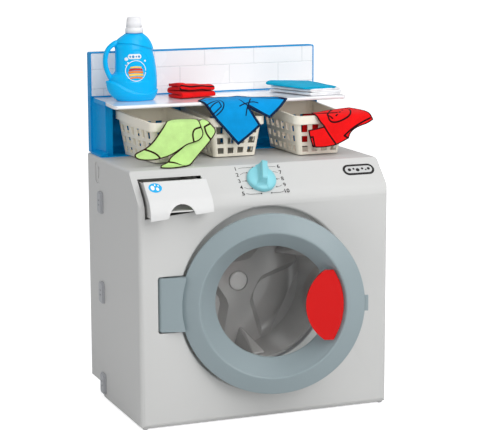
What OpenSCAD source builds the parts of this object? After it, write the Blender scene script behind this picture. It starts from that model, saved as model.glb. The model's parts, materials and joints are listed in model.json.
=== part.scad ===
/* [Cabinet] */
// Outside width of the cabinet
cab_w = 445; // [435:1:455]
// Outside depth from the front face to the back
cab_d = 292; // [288:1:300]
// Height of the flat top above the floor
cab_h = 424; // [420:1:430]
// Wall of the moulded shells
wall = 3; // [2.5:0.1:3.5]
// Depth at which the front and rear shells meet
seam_y = 208; // [205:1:212]
// Height at which the control panel's slope would meet the front face
slope_z = 375; // [373:1:378]
// Depth of the slope's top edge
slope_y = 50; // [48:1:53]
// Radius of the bend between front face and slope
bend_r = 40; // [34:1:44]
// Height of the foot pads under the shells
foot_h = 2; // [1.5:0.1:3]

/* [Door] */
// Height of the door's centre
door_z = 204; // [202:1:206]
// Outside radius of the door ring
ring_r = 151.5; // [150:0.5:152]
// Radius of the raised lip on the ring
lip_r = 122.5; // [121:0.5:124]
// Radius of the clear window that shows
window_r = 94; // [92:0.5:95]
// Radius of the recess that the door closes into
recess_r = 155; // [154.5:0.5:156]
// Angle at which the door stands open
door_ajar = 17.8; // [0:0.1:60]

/* [Drum] */
// Height of the drum's axle
drum_z = 208; // [206:0.5:209]
// Inside radius of the drum
drum_r = 113; // [111:0.5:113]
// Depth of the drum's three pockets behind the front face
drum_floor_y = 146; // [144:1:148]
// Depth of the raised three-armed face
hub_face_y = 132; // [130:1:134]

/* [Drawer and knob] */
// How far the drawer stands out
drawer_out = 28; // [0:1:60]
// Angle of the knob's pointer, clockwise from the top
knob_turn = 15; // [-150:5:150]
// Radius of the knob's disc
knob_r = 25; // [22:0.5:26]

/* [Shelf unit] */
// Height of the tiled backsplash above the floor
splash_h = 599; // [590:1:610]
// Width of the backsplash
splash_w = 421; // [412:1:425]
// Height of the shelf's top face above the floor
shelf_h = 521; // [519:1:524]
// Depth of the shelf's front edge behind the front face
shelf_y = 133; // [125:1:140]

/* [Baskets] */
// Width of a basket over its rim
basket_w = 103; // [98:1:106]
// Length of a basket over its rim
basket_l = 156; // [150:1:158]
// Height of a basket at its front
basket_h = 68; // [65:1:70]
// How much higher its rim is at the back
basket_rise = 8; // [0:1:9]

/* [Hidden] */

eps = 0.01;
fine = 96;
half_w = cab_w / 2;
slope_a = atan2(cab_h - slope_z, slope_y);
edge_r = 6;
front_corner_r = 9;
rear_corner_r = 17;
rear_z = 25;
recess_y = 24;
mouth_r = 118;

// hinge block and its pin, in closed-door coordinates
pin_x = -182;
pin_y = 7;
pin_r = 2;
block_r = 7;
block_h = 90;
block_z = 208;
slot_gap = 2.4;
slot_r = 4.4;
corner_r = 5;
ring_back_y = 20;
window_y = 30;
window_t = 2.5;

drawer_l = -210.8;
drawer_r = -103.2;
drawer_top = 410.8;
drawer_low_l = 352.8;
drawer_low_r = 362.2;
drawer_gap = 1.2;
tray_d = 150;

knob_y = 25.5;
knob_z = slope_z + knob_y * tan(slope_a);

splash_y = 277;
shelf_t = 6;
unit_floor = 1.6;
unit_x = -6;
side_x = 199;
side_y = 230;

basket_base_z = cab_h + unit_floor + 0.2;
basket_in = 2.2;
basket_rim = 14;
basket_lip = 2.5;
basket_base_w = basket_w - 27;
basket_base_l = basket_l - 28;
top_w = basket_w - 2 * basket_lip;
top_l = basket_l - 2 * basket_lip;
rim_a = atan2(basket_rise, basket_l);

bottle_x = -158.5;
bottle_y = 208;

// ---- shared shapes -------------------------------------------------------

// depth 0 is the cabinet's front face
module at_front() translate([0, -cab_d / 2, 0]) children();

// 2D drawing with depth across and height up, pushed out along the width
module along_x(x0, x1) translate([x0, 0, 0]) rotate([90, 0, 90]) linear_extrude(x1 - x0) children();

// 2D drawing with width across and height up, pushed back from y0 to y1
module along_y(y0, y1) translate([0, y1, 0]) rotate([90, 0, 0]) linear_extrude(y1 - y0) children();

// turned shape whose axis runs front to back, its heights measured towards the front
module turned(x, z) translate([x, 0, z]) rotate([90, 0, 0]) rotate_extrude($fn = fine) children();

module disc_y(r, y0, y1, x = 0, z = door_z)
    translate([x, y1, z]) rotate([90, 0, 0]) cylinder(r = r, h = y1 - y0, $fn = fine);

module rounded_rect(w, h, r) {
    square([w - 2 * r, h], center = true);
    square([w, h - 2 * r], center = true);
    for (sx = [-1, 1], sy = [-1, 1])
        translate([sx * (w / 2 - r), sy * (h / 2 - r)]) circle(r, $fn = 48);
}

module block(x, y, z) translate([x[0], y[0], z[0]]) cube([x[1] - x[0], y[1] - y[0], z[1] - z[0]]);

module swung_door() at_front() translate([pin_x, pin_y, 0]) rotate([0, 0, -door_ajar])
    translate([-pin_x, -pin_y, 0]) children();

module on_slope(y = knob_y) at_front() translate([0, y, slope_z + y * tan(slope_a)])
    rotate([slope_a, 0, 0]) children();

// ---- cabinet -------------------------------------------------------------

// points of an arc about c from angle a0 to a1
function arc(c, r, a0, a1, n) =
    [for (k = [0 : n]) c + r * [cos(a0 + (a1 - a0) * k / n), sin(a0 + (a1 - a0) * k / n)]];

// side outline of the cabinet's front half, set in from the outside by i
module side_outline(i, back, low) {
    top = cab_h - i;
    bend = bend_r - i;
    crest = edge_r - i / 2;
    foot = front_corner_r - i;
    slope_0 = [i * sin(slope_a), slope_z - i * cos(slope_a)];
    bend_z = slope_0[1] + (i - slope_0[0]) * tan(slope_a) - bend * tan((90 - slope_a) / 2);
    crest_y = slope_0[0] + (top - slope_0[1]) / tan(slope_a) + crest * tan(slope_a / 2);
    polygon(concat(
        arc([i + foot, low + foot], foot, 270, 180, 8),
        arc([i + bend, bend_z], bend, 180, 90 + slope_a, 14),
        arc([crest_y, top - crest], crest, 90 + slope_a, 90, 8),
        [[back, top], [back, low]]));
}

module front_body(i, back, low) intersection() {
    along_x(-half_w + i, half_w - i) side_outline(i, back, low);
    translate([0, back, low - 1]) linear_extrude(cab_h - low + 2)
        rounded_rect(cab_w - 2 * i, 2 * back - 2 * i, front_corner_r - i / 2);
    along_y(-1, back + 1) translate([0, (cab_h + low) / 2 - i / 2])
        rounded_rect(cab_w - 2 * i, cab_h - low - i, edge_r - i / 2);
}

module drawer_outline(grow) polygon([
    [drawer_l - grow, drawer_low_l - grow], [drawer_r + grow, drawer_low_r - grow],
    [drawer_r + grow, drawer_top + grow], [drawer_l - grow, drawer_top + grow]]);

// front view of the hinge block, its left corners rounded
module block_outline(grow, round_r) translate([pin_x - block_r + 30, block_z])
    rounded_rect(60 + 2 * grow, block_h + 2 * grow, round_r);

// slot behind the hinge block, its corners tight enough for the long edge of the opened block
module slot_cavity(grow) along_y(grow > 0 ? 1 : -1, 19 + grow) block_outline(slot_gap + grow, slot_r + grow);

module latch_cavity(grow)
    block([140, 160.5 + grow], [grow > 0 ? 1 : -1, 18 + grow], [door_z - 16 - grow, door_z + 16 + grow]);

// round the mouth of the door recess over into the front face
module recess_round() turned(0, door_z) translate([recess_r - eps, -4]) difference() {
    square([4, 5]);
    translate([4, 0]) circle(4, $fn = 48);
}

module front_shell() color([0.80, 0.80, 0.79]) at_front() difference() {
    union() {
        difference() {
            front_body(0, seam_y, foot_h);
            front_body(wall, seam_y + 5, -20);
        }
        disc_y(recess_r + wall, 1, recess_y + wall);
        slot_cavity(wall);
        latch_cavity(wall);
        // boss that guides the knob's shaft
        translate([0, knob_y, knob_z]) rotate([slope_a, 0, 0]) translate([0, 0, -9.4])
            cylinder(r = 10, h = 8, $fn = 48);
        // two stiffening ribs across the inside of the top
        for (y = [95, 150])
            block([-half_w + wall, half_w - wall], [y, y + 2], [cab_h - 12, cab_h - wall / 2]);
    }
    disc_y(recess_r, -20, recess_y);
    disc_y(mouth_r, -20, 60, 0, drum_z);
    slot_cavity(0);
    latch_cavity(0);
    recess_round();
    along_y(-5, 60) drawer_outline(drawer_gap);
    translate([0, knob_y, knob_z]) rotate([slope_a, 0, 0]) translate([0, 0, -30])
        cylinder(r = 6, h = 40, $fn = 48);
    for (a = tub_screw_a) rotate_about_drum(a) translate([137, 0, 0]) disc_y(1.5, recess_y + 1, 40, 0, 0);
    translate([pin_x, pin_y, block_z - 60]) cylinder(r = pin_r, h = 120, $fn = 32);
}

tub_screw_a = [30 : 60 : 330];

module rotate_about_drum(a) translate([0, 0, drum_z]) rotate([0, -a, 0]) children();

speaker_x = -95;
bay_z = 150;

module rear_box(i, front) {
    intersection() {
        along_x(-half_w + i, half_w - i) translate([seam_y, (cab_h + rear_z) / 2])
            rounded_rect(2 * (cab_d - seam_y) - 2 * i, cab_h - rear_z - 2 * i, 8 - i / 2);
        translate([0, seam_y, 0]) linear_extrude(cab_h + 1)
            rounded_rect(cab_w - 2 * i, 2 * (cab_d - seam_y) - 2 * i, rear_corner_r - i);
        along_y(front, cab_d + 1) translate([0, (cab_h + rear_z) / 2])
            rounded_rect(cab_w - 2 * i, cab_h - rear_z - 2 * i, edge_r - i / 2);
    }
}

module rear_shell() color([0.78, 0.79, 0.80]) at_front() difference() {
    union() {
        difference() {
            rear_box(0, seam_y);
            rear_box(wall, seam_y - 5);
        }
        // tongue that slips inside the front shell, on a band inside the rear shell's wall
        difference() {
            union() {
                rear_box(wall + 0.2, seam_y - 7);
                rear_box(wall - 1, seam_y + 0.3);
            }
            rear_box(wall + 1.7, seam_y - 9);
            block([-half_w, half_w], [seam_y + 4, cab_d], [0, cab_h]);
        }
        // moulded frame round the battery bay
        block([-58, 58], [cab_d - 24, cab_d - 1], [112, 188]);
    }
    difference() {
        block([-55, 55], [cab_d - 21, cab_d + 1], [115, 185]);
        block([-3.5, 3.5], [cab_d - 22, cab_d - 2.7], [178, 186]);
    }
    disc_y(1.4, cab_d - 16, cab_d + 1, 0, 181);
    // upper finger slots, one in each side
    for (s = [-1, 1]) translate([s * half_w, seam_y + 15, cab_h - 26]) rotate([0, 90, 0])
        linear_extrude(3, center = true) difference() {
            rounded_rect(36, 24, 8);
            rounded_rect(20, 9, 4);
        }
    // sound slots in front of the speaker
    for (k = [-2 : 2]) block([speaker_x - 16 + 2 * abs(k), speaker_x + 16 - 2 * abs(k)], [cab_d - 5, cab_d + 1],
        [bay_z + 7 * k - 1.2, bay_z + 7 * k + 1.2]);
}

module base_panel() color([0.74, 0.74, 0.73]) at_front() {
    inner_w = cab_w - 2 * wall - 0.8;
    translate([0, (wall + seam_y) / 2, foot_h]) linear_extrude(3)
        rounded_rect(inner_w, seam_y - wall - 0.8, front_corner_r - wall);
    translate([0, (wall + seam_y) / 2, 0]) linear_extrude(foot_h + 1)
        rounded_rect(inner_w - 36, seam_y - wall - 40, 12);
    // upright rim and ribs
    for (s = [-1, 1])
        block([s * (inner_w / 2 - 6) - 1, s * (inner_w / 2 - 6) + 1], [14, seam_y - 12], [foot_h + 2, 16]);
    for (x = [-120 : 60 : 120]) block([x - 1, x + 1], [24, seam_y - 22], [foot_h + 2, 12]);
}

module foot_pads() color([0.45, 0.45, 0.46]) at_front()
    for (x = [-half_w + 9.5, half_w - 9.5], y = [8.5, seam_y - 8])
        translate([x, y, 0]) cylinder(r = 4.5, h = foot_h, $fn = 32);

// snap clips that lock the two shells together
module side_clips() color([0.76, 0.77, 0.78]) at_front()
    for (s = [-1, 1], z = [30, 192, 349]) translate([s * half_w, seam_y - 5, z])
        rotate([0, s * 90, 0]) difference() {
            union() {
                linear_extrude(3.4) rounded_rect(37, 23, 5);
                translate([0, 0, 3]) linear_extrude(1.8) rounded_rect(33, 19, 4);
            }
            for (k = [-1, 1]) translate([k * 4, 0, 3.6]) cube([2, 6, 3], center = true);
        }

// six screws through the tub's flange and one in the battery cover
module case_screws() color([0.6, 0.6, 0.62]) at_front() {
    for (a = tub_screw_a) rotate_about_drum(a) translate([137, 0, 0]) {
        disc_y(4, recess_y + 6, recess_y + 8, 0, 0);
        disc_y(1.45, recess_y + 1.2, recess_y + 7, 0, 0);
    }
    disc_y(3, cab_d - 2, cab_d - 0.5, 0, 181);
    disc_y(1.35, cab_d - 14, cab_d - 1, 0, 181);
}

// ---- tub and drum --------------------------------------------------------

tub_r = mouth_r + 3;
axle_r = 5;

module tub() color([0.55, 0.56, 0.57]) at_front() difference() {
    turned(0, drum_z) polygon([[mouth_r, -27], [150, -27], [150, -30], [tub_r, -30], [tub_r, -158],
        [14, -160], [14, -166], [0, -166], [0, -157], [mouth_r, -154.5]]);
    disc_y(axle_r, 140, 164, 0, drum_z);
    for (a = tub_screw_a) rotate_about_drum(a) translate([137, 0, 0]) disc_y(1.5, 20, 40, 0, 0);
}

module drum_axle() color([0.7, 0.7, 0.72]) at_front() union() {
    disc_y(axle_r, 137.4, 163.9, 0, drum_z);
    disc_y(8.5, 135.4, 137.4, 0, drum_z);
}

// half of the outline of a sunk field between two arms: radius and angle from its middle
field_edge = [[36.5, 0], [37, 21], [46, 34.5], [100, 41], [128, 41.5]];
field_a = [-27, 93, 213];
fin_a = [33, 153, 273];

module field_outline(inset) polygon(concat(
    [for (p = field_edge) [p[0] * cos(p[1]) + inset, p[0] * sin(p[1]) - inset * sin(p[1]) / sin(34.5)]],
    [for (k = [len(field_edge) - 1 : -1 : 1])
        [field_edge[k][0] * cos(field_edge[k][1]) + inset,
        -field_edge[k][0] * sin(field_edge[k][1]) + inset * sin(field_edge[k][1]) / sin(34.5)]]));

// sunk field with sloping sides, cut a little above the face and below the floor
module field(a) rotate_about_drum(a) hull() {
    along_y(hub_face_y - 2, hub_face_y - 2 + eps) field_outline(-1.2);
    along_y(drum_floor_y + 0.4, drum_floor_y + 0.4 + eps) field_outline(8.2);
}

// tapered lifter on the wall at the end of an arm
module fin(a) rotate_about_drum(a) hull() {
    translate([drum_r - 26, hub_face_y - 1.5, 0]) sphere(4, $fn = 16);
    translate([drum_r - 20, hub_face_y - 28, 0]) sphere(4, $fn = 16);
    for (s = [-1, 1]) {
        translate([drum_r - 2.5, hub_face_y - 6, 12 * s]) sphere(3, $fn = 12);
        translate([drum_r - 2.5, 54, 8 * s]) sphere(3, $fn = 12);
    }
}

// drum floor: three sunk fields leave a hub face with three arms
module drum() color([0.52, 0.52, 0.53]) at_front() {
    fillet = 16;
    t = 2.5;
    difference() {
        union() {
            turned(0, drum_z) {
                // wall with a rolled front edge
                polygon([[drum_r, -34], [drum_r, -drum_floor_y + fillet], [drum_r + t, -drum_floor_y + fillet],
                    [drum_r + t, -38], [drum_r + 4.2, -36], [drum_r + 4.2, -34]]);
                // swept corner between wall and floor
                translate([drum_r - fillet, -drum_floor_y + fillet]) intersection() {
                    difference() {
                        circle(fillet + t, $fn = fine);
                        circle(fillet, $fn = fine);
                    }
                    translate([0, -fillet - t]) square(fillet + t);
                }
                translate([0, -drum_floor_y - t]) square([drum_r - fillet, t]);
            }
            difference() {
                disc_y(drum_r + 0.5, hub_face_y, drum_floor_y + 1, 0, drum_z);
                for (a = field_a) field(a);
            }
            disc_y(11, hub_face_y + 2, 156.6, 0, drum_z);
            for (a = fin_a) fin(a);
        }
        // keep arms and fins inside the wall
        difference() {
            disc_y(drum_r + 40, 20, 170, 0, drum_z);
            disc_y(drum_r + 4.3, 19, drum_floor_y + t, 0, drum_z);
            disc_y(12, 19, 171, 0, drum_z);
        }
        difference() {
            disc_y(drum_r + 5, 39, drum_floor_y - fillet, 0, drum_z);
            disc_y(drum_r + t, 38, drum_floor_y, 0, drum_z);
        }
        disc_y(axle_r + 0.06, 100, 170, 0, drum_z);
        disc_y(9, 100, 138, 0, drum_z);
        disc_y(18, 100, hub_face_y + 3, 0, drum_z);
    }
}

module hub_cap() color([0.58, 0.58, 0.59]) at_front() turned(0, drum_z)
    polygon([[0, -129], [8, -129.2], [13, -129.9], [15.6, -131], [16.6, -132.6], [16.6, -135],
        [10.5, -135], [10.5, -133.2], [0, -133.2]]);

// ---- door ----------------------------------------------------------------

// turned outlines: radius, then height towards the front of the closed door
lip_round = 3.8;
rim_round = 2.5;
cone_top = [lip_r - 3.5, 1];
cone_low = [window_r + 0.5, -window_y];

module ring_outline() {
    lip_arc = [for (a = [70 : 12.5 : 170]) [lip_r + lip_round * cos(a), 0.2 + lip_round * sin(a)]];
    rim_arc = [for (a = [0 : 15 : 75]) [ring_r - rim_round + rim_round * cos(a), -9.5 + rim_round * sin(a)]];
    polygon(concat([[ring_r - 1.5, -ring_back_y], [ring_r, -16]], rim_arc, lip_arc,
        [cone_top, cone_low, [cone_low[0] + 3, -window_y], [cone_top[0] + 4, -3], [lip_r + 3, -0.6],
        [ring_r - 5, -10.5], [ring_r - 4, -ring_back_y]]));
}

// round front ring with its lip and funnel, and the hinge block on its left
module door_ring() color([0.59, 0.65, 0.66]) swung_door() difference() {
    union() {
        turned(0, door_z) ring_outline();
        difference() {
            intersection() {
                union() {
                    translate([pin_x, pin_y, block_z - block_h / 2])
                        cylinder(r = block_r, h = block_h, $fn = 64);
                    block([pin_x, -143], [pin_y - block_r, pin_y + block_r],
                        [block_z - block_h / 2, block_z + block_h / 2]);
                }
                along_y(-10, 30) block_outline(0, corner_r);
            }
            disc_y(ring_r - 2, -20, 40);
        }
    }
    translate([pin_x, pin_y, 100]) cylinder(r = pin_r + 0.06, h = 200, $fn = 32);
}

// rear cover that clamps the window against the ring
module door_back() color([0.55, 0.61, 0.62]) swung_door() turned(0, door_z)
    polygon([[ring_r - 4.2, -18], [ring_r - 4.2, -20], [112, -20], [103.5, -34.6], [window_r, -34.6],
        [window_r, -32.6], [102.3, -32.6], [110.8, -18]]);

module door_window() color([0.85, 0.9, 0.92, 0.35]) swung_door()
    disc_y(window_r + 7.5, window_y + 0.05, window_y + 0.05 + window_t);

handle_r = 114.5;
handle_left_r = 71;
handle_left_x = 124;

module handle_outline(r) intersection() {
    circle(r, $fn = fine);
    translate([handle_left_x, 0]) circle(handle_left_r, $fn = fine);
    square([400, 117], center = true);
}

// lens-shaped grip bridging the edge of the window, with a web down to the funnel
module door_handle() color([0.84, 0.0, 0.02]) swung_door() {
    along_y(-2, 4) translate([0, door_z]) handle_outline(handle_r);
    slope = (cone_top[0] - cone_low[0]) / (cone_top[1] - cone_low[1]);
    intersection() {
        along_y(3, 23) translate([88, door_z - 42]) square([40, 84]);
        turned(0, door_z) polygon([[60, -2], [cone_top[0] - 3 * slope, -2],
            [cone_low[0] + slope * 3.5, -26.5], [60, -26.5]]);
    }
}

module latch_tab() color([0.55, 0.61, 0.62]) swung_door() difference() {
    block([146, 157], [9.5, 14], [door_z - 13, door_z + 13]);
    disc_y(ring_r, 0, 20);
}

module hinge_pin() color([0.75, 0.75, 0.77]) at_front()
    translate([pin_x, pin_y, block_z - 50]) cylinder(r = pin_r, h = 100, $fn = 32);

// ---- drawer --------------------------------------------------------------

finger_x = -157;
finger_z = 377.5;
finger_r = 23;

module slid_drawer() at_front() translate([0, -drawer_out, 0]) children();

// arched finger cut-out whose feet run out into the lower edge
module finger_cut() {
    translate([finger_x, finger_z - finger_r]) circle(finger_r, $fn = 64);
    difference() {
        translate([finger_x - finger_r - 6, 340]) square([2 * finger_r + 12, 20]);
        for (s = [-1, 1]) translate([finger_x + s * (finger_r + 6.5), 361]) circle(7, $fn = 48);
    }
}

module drawer_front() color([0.88, 0.88, 0.87]) slid_drawer() difference() {
    intersection() {
        along_x(drawer_l - 5, drawer_r + 5) side_outline(0, 120, foot_h);
        along_y(-2, 45) drawer_outline(0);
    }
    along_x(drawer_l - 6, drawer_r + 6) side_outline(wall, 125, -20);
    along_y(-5, 60) finger_cut();
}

tray_l = drawer_l + 3.4;
tray_r = drawer_r - 3.4;
tray_t = 2.2;

module drawer_tray() color([0.72, 0.72, 0.71]) slid_drawer() {
    low = drawer_low_r + 2.5;
    middle = (tray_l + tray_r) / 2 + 14;
    intersection() {
        union() {
            block([tray_l, tray_l + tray_t], [0, tray_d], [drawer_low_l + 2.5, drawer_top - 4]);
            block([tray_r - tray_t, tray_r], [0, tray_d], [low, drawer_top - 4]);
            block([tray_l, tray_r], [0, tray_d], [low, low + tray_t]);
            block([tray_l, tray_r], [tray_d - tray_t, tray_d], [low, drawer_top - 12]);
            block([middle, middle + tray_t], [46, tray_d], [low, drawer_top - 20]);
        }
        along_x(drawer_l - 5, drawer_r + 5) side_outline(wall + 0.02, 160, -20);
    }
}

// channel inside the cabinet that the tray runs in
module drawer_guide() color([0.66, 0.66, 0.66]) at_front() {
    gl = tray_l - 0.6;
    gr = tray_r + 0.6;
    low = drawer_low_l - 4;
    block([gl - 2, gr + 2], [wall, tray_d + 20], [low, low + 2]);
    block([gl - 2, gl], [wall + 6, tray_d + 20], [low, slope_z - 4]);
    block([gr, gr + 2], [wall + 6, tray_d + 20], [low, slope_z - 4]);
    block([gl - 2, gl], [slope_y + 6, tray_d + 20], [low, drawer_top]);
    block([gr, gr + 2], [slope_y + 6, tray_d + 20], [low, drawer_top]);
    block([gl - 2, gr + 2], [tray_d + 18, tray_d + 20], [low, drawer_top]);
    // runner under the tray's floor
    block([gl, gr], [slope_y, tray_d + 18], [low + 2, drawer_low_l + 1.5]);
}

// ---- knob ----------------------------------------------------------------

module turned_knob() on_slope() rotate([0, 0, -knob_turn]) children();

// domed disc with a tall scooped grip across it
module knob() color([0.58, 0.84, 0.88]) turned_knob() difference() {
    union() {
        translate([0, 0, 0.6]) rotate_extrude($fn = fine) polygon([[0, 0], [knob_r, 0], [knob_r, 4.5],
            [knob_r - 0.8, 6.4], [knob_r - 2.8, 8], [14, 10], [0, 10.4]]);
        intersection() {
            rotate([90, 0, 90]) linear_extrude(24, center = true)
                polygon([[-21.5, 8], [-17, 12], [-14, 24.5], [-11.5, 26.5],
                    [19.5, 26.5], [22.5, 24.5], [23.5, 20], [23.5, 8]]);
            translate([0, 23.5, 0]) rotate([90, 0, 0]) linear_extrude(47)
                polygon([[-11.5, 8], [-6.4, 13], [-4.8, 20], [-4.6, 25.6], [-3.6, 26.5], [3.6, 26.5], [4.6, 25.6],
                    [4.8, 20], [6.4, 13], [11.5, 8]]);
        }
    }
    translate([0, 0, -1]) cylinder(r = knob_r - 2.5, h = 4.6, $fn = fine);
    translate([0, 0, -1]) cylinder(r = 4, h = 12, $fn = 48);
}

module knob_shaft() color([0.5, 0.75, 0.8]) turned_knob() {
    translate([0, 0, -18]) cylinder(r = 4, h = 28.6, $fn = 48);
    translate([0, 0, -9.5]) cylinder(r = 5.94, h = 10, $fn = 48);
}

// washer that keeps the shaft in the panel
module knob_clip() color([0.7, 0.7, 0.72]) turned_knob() translate([0, 0, -12]) difference() {
    cylinder(r = 9, h = 2, $fn = 48);
    translate([0, 0, -1]) cylinder(r = 4, h = 4, $fn = 48);
}

// ---- sound module --------------------------------------------------------

// cup behind the battery bay that holds the board
module sound_case() color([0.2, 0.2, 0.22]) at_front() difference() {
    block([-54, 54], [cab_d - 42, cab_d - 24], [116, 184]);
    block([-52, 52], [cab_d - 40, cab_d - 23], [118, 182]);
}

module circuit_board() color([0.1, 0.4, 0.2]) at_front() {
    block([-52, 52], [cab_d - 38, cab_d - 36.4], [118, 182]);
    for (x = [-30, 0, 26]) block([x - 5, x + 5], [cab_d - 36.4, cab_d - 33], [140, 152]);
}

module speaker() color([0.15, 0.15, 0.15]) at_front() turned(speaker_x, bay_z)
    polygon([[0, -285], [19, -288], [25, -289], [25, -286], [22, -285], [13, -272], [13, -265], [0, -265]]);

module batteries() color([0.75, 0.6, 0.25]) at_front()
    for (k = [-1, 0, 1]) translate([-25, cab_d - 13.5, bay_z + k * 17]) rotate([0, 90, 0]) {
        cylinder(r = 7.2, h = 49, $fn = 48);
        cylinder(r = 2.7, h = 50.4, $fn = 24);
    }

module battery_cover() color([0.78, 0.79, 0.80]) at_front() difference() {
    union() {
        block([-54.7, 54.7], [cab_d - 2.6, cab_d - 0.4], [115.3, 184.7]);
        for (x = [-40 : 10 : 40]) block([x - 1, x + 1], [cab_d - 6, cab_d - 2.6], [122, 176]);
    }
    disc_y(1.4, cab_d - 5, cab_d + 1, 0, 181);
    disc_y(3.1, cab_d - 2, cab_d + 1, 0, 181);
}

// ---- shelf unit ----------------------------------------------------------

frame_w = 2;
rim_x = splash_w / 2 - 5.1;

// the unit sits a little left of the cabinet's middle
module at_unit() translate([unit_x, -cab_d / 2, 0]) children();

// the same points on the left or right side
function sided(s, points) = [for (k = [0 : len(points) - 1])
    [s * points[s > 0 ? k : len(points) - 1 - k][0], points[s > 0 ? k : len(points) - 1 - k][1]]];

// top view of a side wall: front column, outer face running back, and the corner at the back wall
module side_outline_top(s, inner) polygon(sided(s, [[inner, side_y + 0.6], [inner + 0.6, side_y],
    [side_x - 1.8, side_y], [side_x - 0.8, side_y + 1], [side_x, side_y + 14], [side_x + 1.5, splash_y - 16],
    [side_x + 4, splash_y - 6], [side_x + 9, splash_y + 1], [inner, splash_y + 1]]));

// blue moulding: floor, back wall with the backsplash above it, and two side walls
module shelf_unit() color([0.0, 0.5, 0.82]) at_unit() {
    // hollow back, open to the rear behind the cabinet's top
    difference() {
        along_y(splash_y, cab_d) translate([0, (splash_h + cab_h) / 2])
            rounded_rect(splash_w, splash_h - cab_h, 3);
        along_y(splash_y + wall, cab_d + 1) translate([0, (splash_h + cab_h) / 2])
            rounded_rect(splash_w - 2 * wall, splash_h - cab_h - 2 * wall, 2);
    }
    // stiffening ribs in the hollow back
    for (x = [-140 : 70 : 140])
        block([x - 1, x + 1], [splash_y + wall / 2, cab_d - 4], [cab_h + 2, splash_h - 2]);
    // raised frame round the tiles
    difference() {
        along_y(splash_y - 2.4, splash_y + 1) translate([0, (splash_h + shelf_h) / 2])
            rounded_rect(splash_w, splash_h - shelf_h, 3);
        along_y(splash_y - 3, splash_y + 2) translate([0, (splash_h + shelf_h) / 2])
            rounded_rect(splash_w - 2 * frame_w, splash_h - shelf_h - 2 * frame_w, 1.5);
    }
    // floor of the basket bays, coved up to the back wall
    translate([0, (214 + splash_y) / 2 + 1, cab_h]) linear_extrude(unit_floor)
        rounded_rect(splash_w + 3, splash_y - 214 + 2, 6);
    along_x(-side_x + 2.4, side_x - 2.4) polygon([[splash_y - 12, cab_h + 0.5], [splash_y - 12, cab_h + 2],
        [splash_y - 9, cab_h + 4.4], [splash_y - 1, cab_h + 9.4], [splash_y + 0.6, cab_h + 9.4],
        [splash_y + 0.6, cab_h + 0.5]]);
    for (s = [-1, 1]) {
        translate([0, 0, cab_h + unit_floor / 2]) linear_extrude(shelf_h - shelf_t - cab_h - unit_floor / 2)
            side_outline_top(s, s > 0 ? 196 : 185);
        // raised skirt outside the wall
        along_y(side_y - 8, splash_y + 1.5) polygon(sided(s, [[side_x - 1.8, cab_h + 0.6],
            [splash_w / 2 + 0.6, cab_h + 0.6], [splash_w / 2 + 0.6, cab_h + 2.5], [side_x + 4.3, cab_h + 7],
            [side_x - 1.8, cab_h + 7.6]]));
        // narrow rim along the shelf's end, on a flange above the wall
        along_y(205, splash_y + 1.8) polygon(sided(s, [[side_x - 5, shelf_h - shelf_t - 1.5],
            [rim_x + 1.5, shelf_h - shelf_t - 1.5], [rim_x + 1.5, shelf_h - 0.4], [rim_x, shelf_h - 0.4],
            [rim_x, shelf_h - shelf_t - 0.05], [side_x - 5, shelf_h - shelf_t - 0.05]]));
    }
}

tile_w = 93.5;
tile_h = 33.8;
joint_w = 1.2;
// middle joint of the outer rows and of the middle row
joint_x = [0.5, -46.1];

// white sheet with shallow joints in running bond
module tile_panel() color([0.96, 0.96, 0.97]) at_unit() {
    low = shelf_h + frame_w + 0.1;
    high = splash_h - frame_w - 0.1;
    side = splash_w / 2 - frame_w - 0.1;
    row = [low - 1, high - 27.6 - tile_h, high - 27.6, high + 1];
    cut = [splash_y - 3, splash_y - 1.4];
    difference() {
        along_y(splash_y - 1.9, splash_y) translate([0, (low + high) / 2])
            rounded_rect(2 * side, high - low, 1.6);
        for (k = [1, 2]) block([-side - 1, side + 1], cut, [row[k] - joint_w / 2, row[k] + joint_w / 2]);
        for (r = [0 : 2], k = [-2 : 2]) {
            x = joint_x[r % 2] + k * tile_w;
            block([x - joint_w / 2, x + joint_w / 2], cut, [row[r], row[r + 1]]);
        }
    }
}

// right half of the shelf's plan: full width at the front, narrower between the unit's end rims
shelf_half = [[splash_w / 2 - 6, shelf_y], [splash_w / 2 - 2.8, shelf_y + 1.2],
    [splash_w / 2 - 0.6, shelf_y + 4], [splash_w / 2 + 0.5, shelf_y + 9], [splash_w / 2 + 0.5, shelf_y + 20],
    [splash_w / 2 - 2, 186], [splash_w / 2 - 3.6, 199], [splash_w / 2 - 4.3, 203],
    [rim_x - 0.2, 204.8], [rim_x - 0.2, splash_y - 2.5]];

module shelf() color([0.97, 0.97, 0.98]) at_unit() intersection() {
    translate([0, 0, shelf_h - shelf_t]) linear_extrude(shelf_t)
        polygon(concat(shelf_half,
            [for (k = [len(shelf_half) - 1 : -1 : 0]) [-shelf_half[k][0], shelf_half[k][1]]]));
    along_x(-half_w, half_w) translate([shelf_y, shelf_h - shelf_t]) polygon([[0, 2], [0.8, 0.4], [2, 0],
        [150, 0], [150, 6], [2, 6], [0.8, 5.6], [0, 4]]);
}

// ---- baskets -------------------------------------------------------------

// plate that lies level below or tilts with the rim, its front edge at the height h
module level_plate(h) translate([0, 0, h]) linear_extrude(eps) children();

module rim_plane(h)
    translate([0, -basket_l / 2, h]) rotate([rim_a, 0, 0]) translate([0, basket_l / 2, 0]) children();

module rounded_rect_coarse(w, h, r) {
    square([w - 2 * r, h], center = true);
    square([w, h - 2 * r], center = true);
    for (sx = [-1, 1], sy = [-1, 1])
        translate([sx * (w / 2 - r), sy * (h / 2 - r)]) circle(r, $fn = 20);
}

// flared box from the base up to the sloping rim, set in from the outside by i
module flared(i, low) hull() {
    level_plate(low) rounded_rect_coarse(basket_base_w - 2 * i, basket_base_l - 2 * i, 7 - i / 2);
    rim_plane(basket_h - eps) linear_extrude(eps + i)
        rounded_rect_coarse(top_w - 2 * i, top_l - 2 * i, 12 - i / 2);
}

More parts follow.
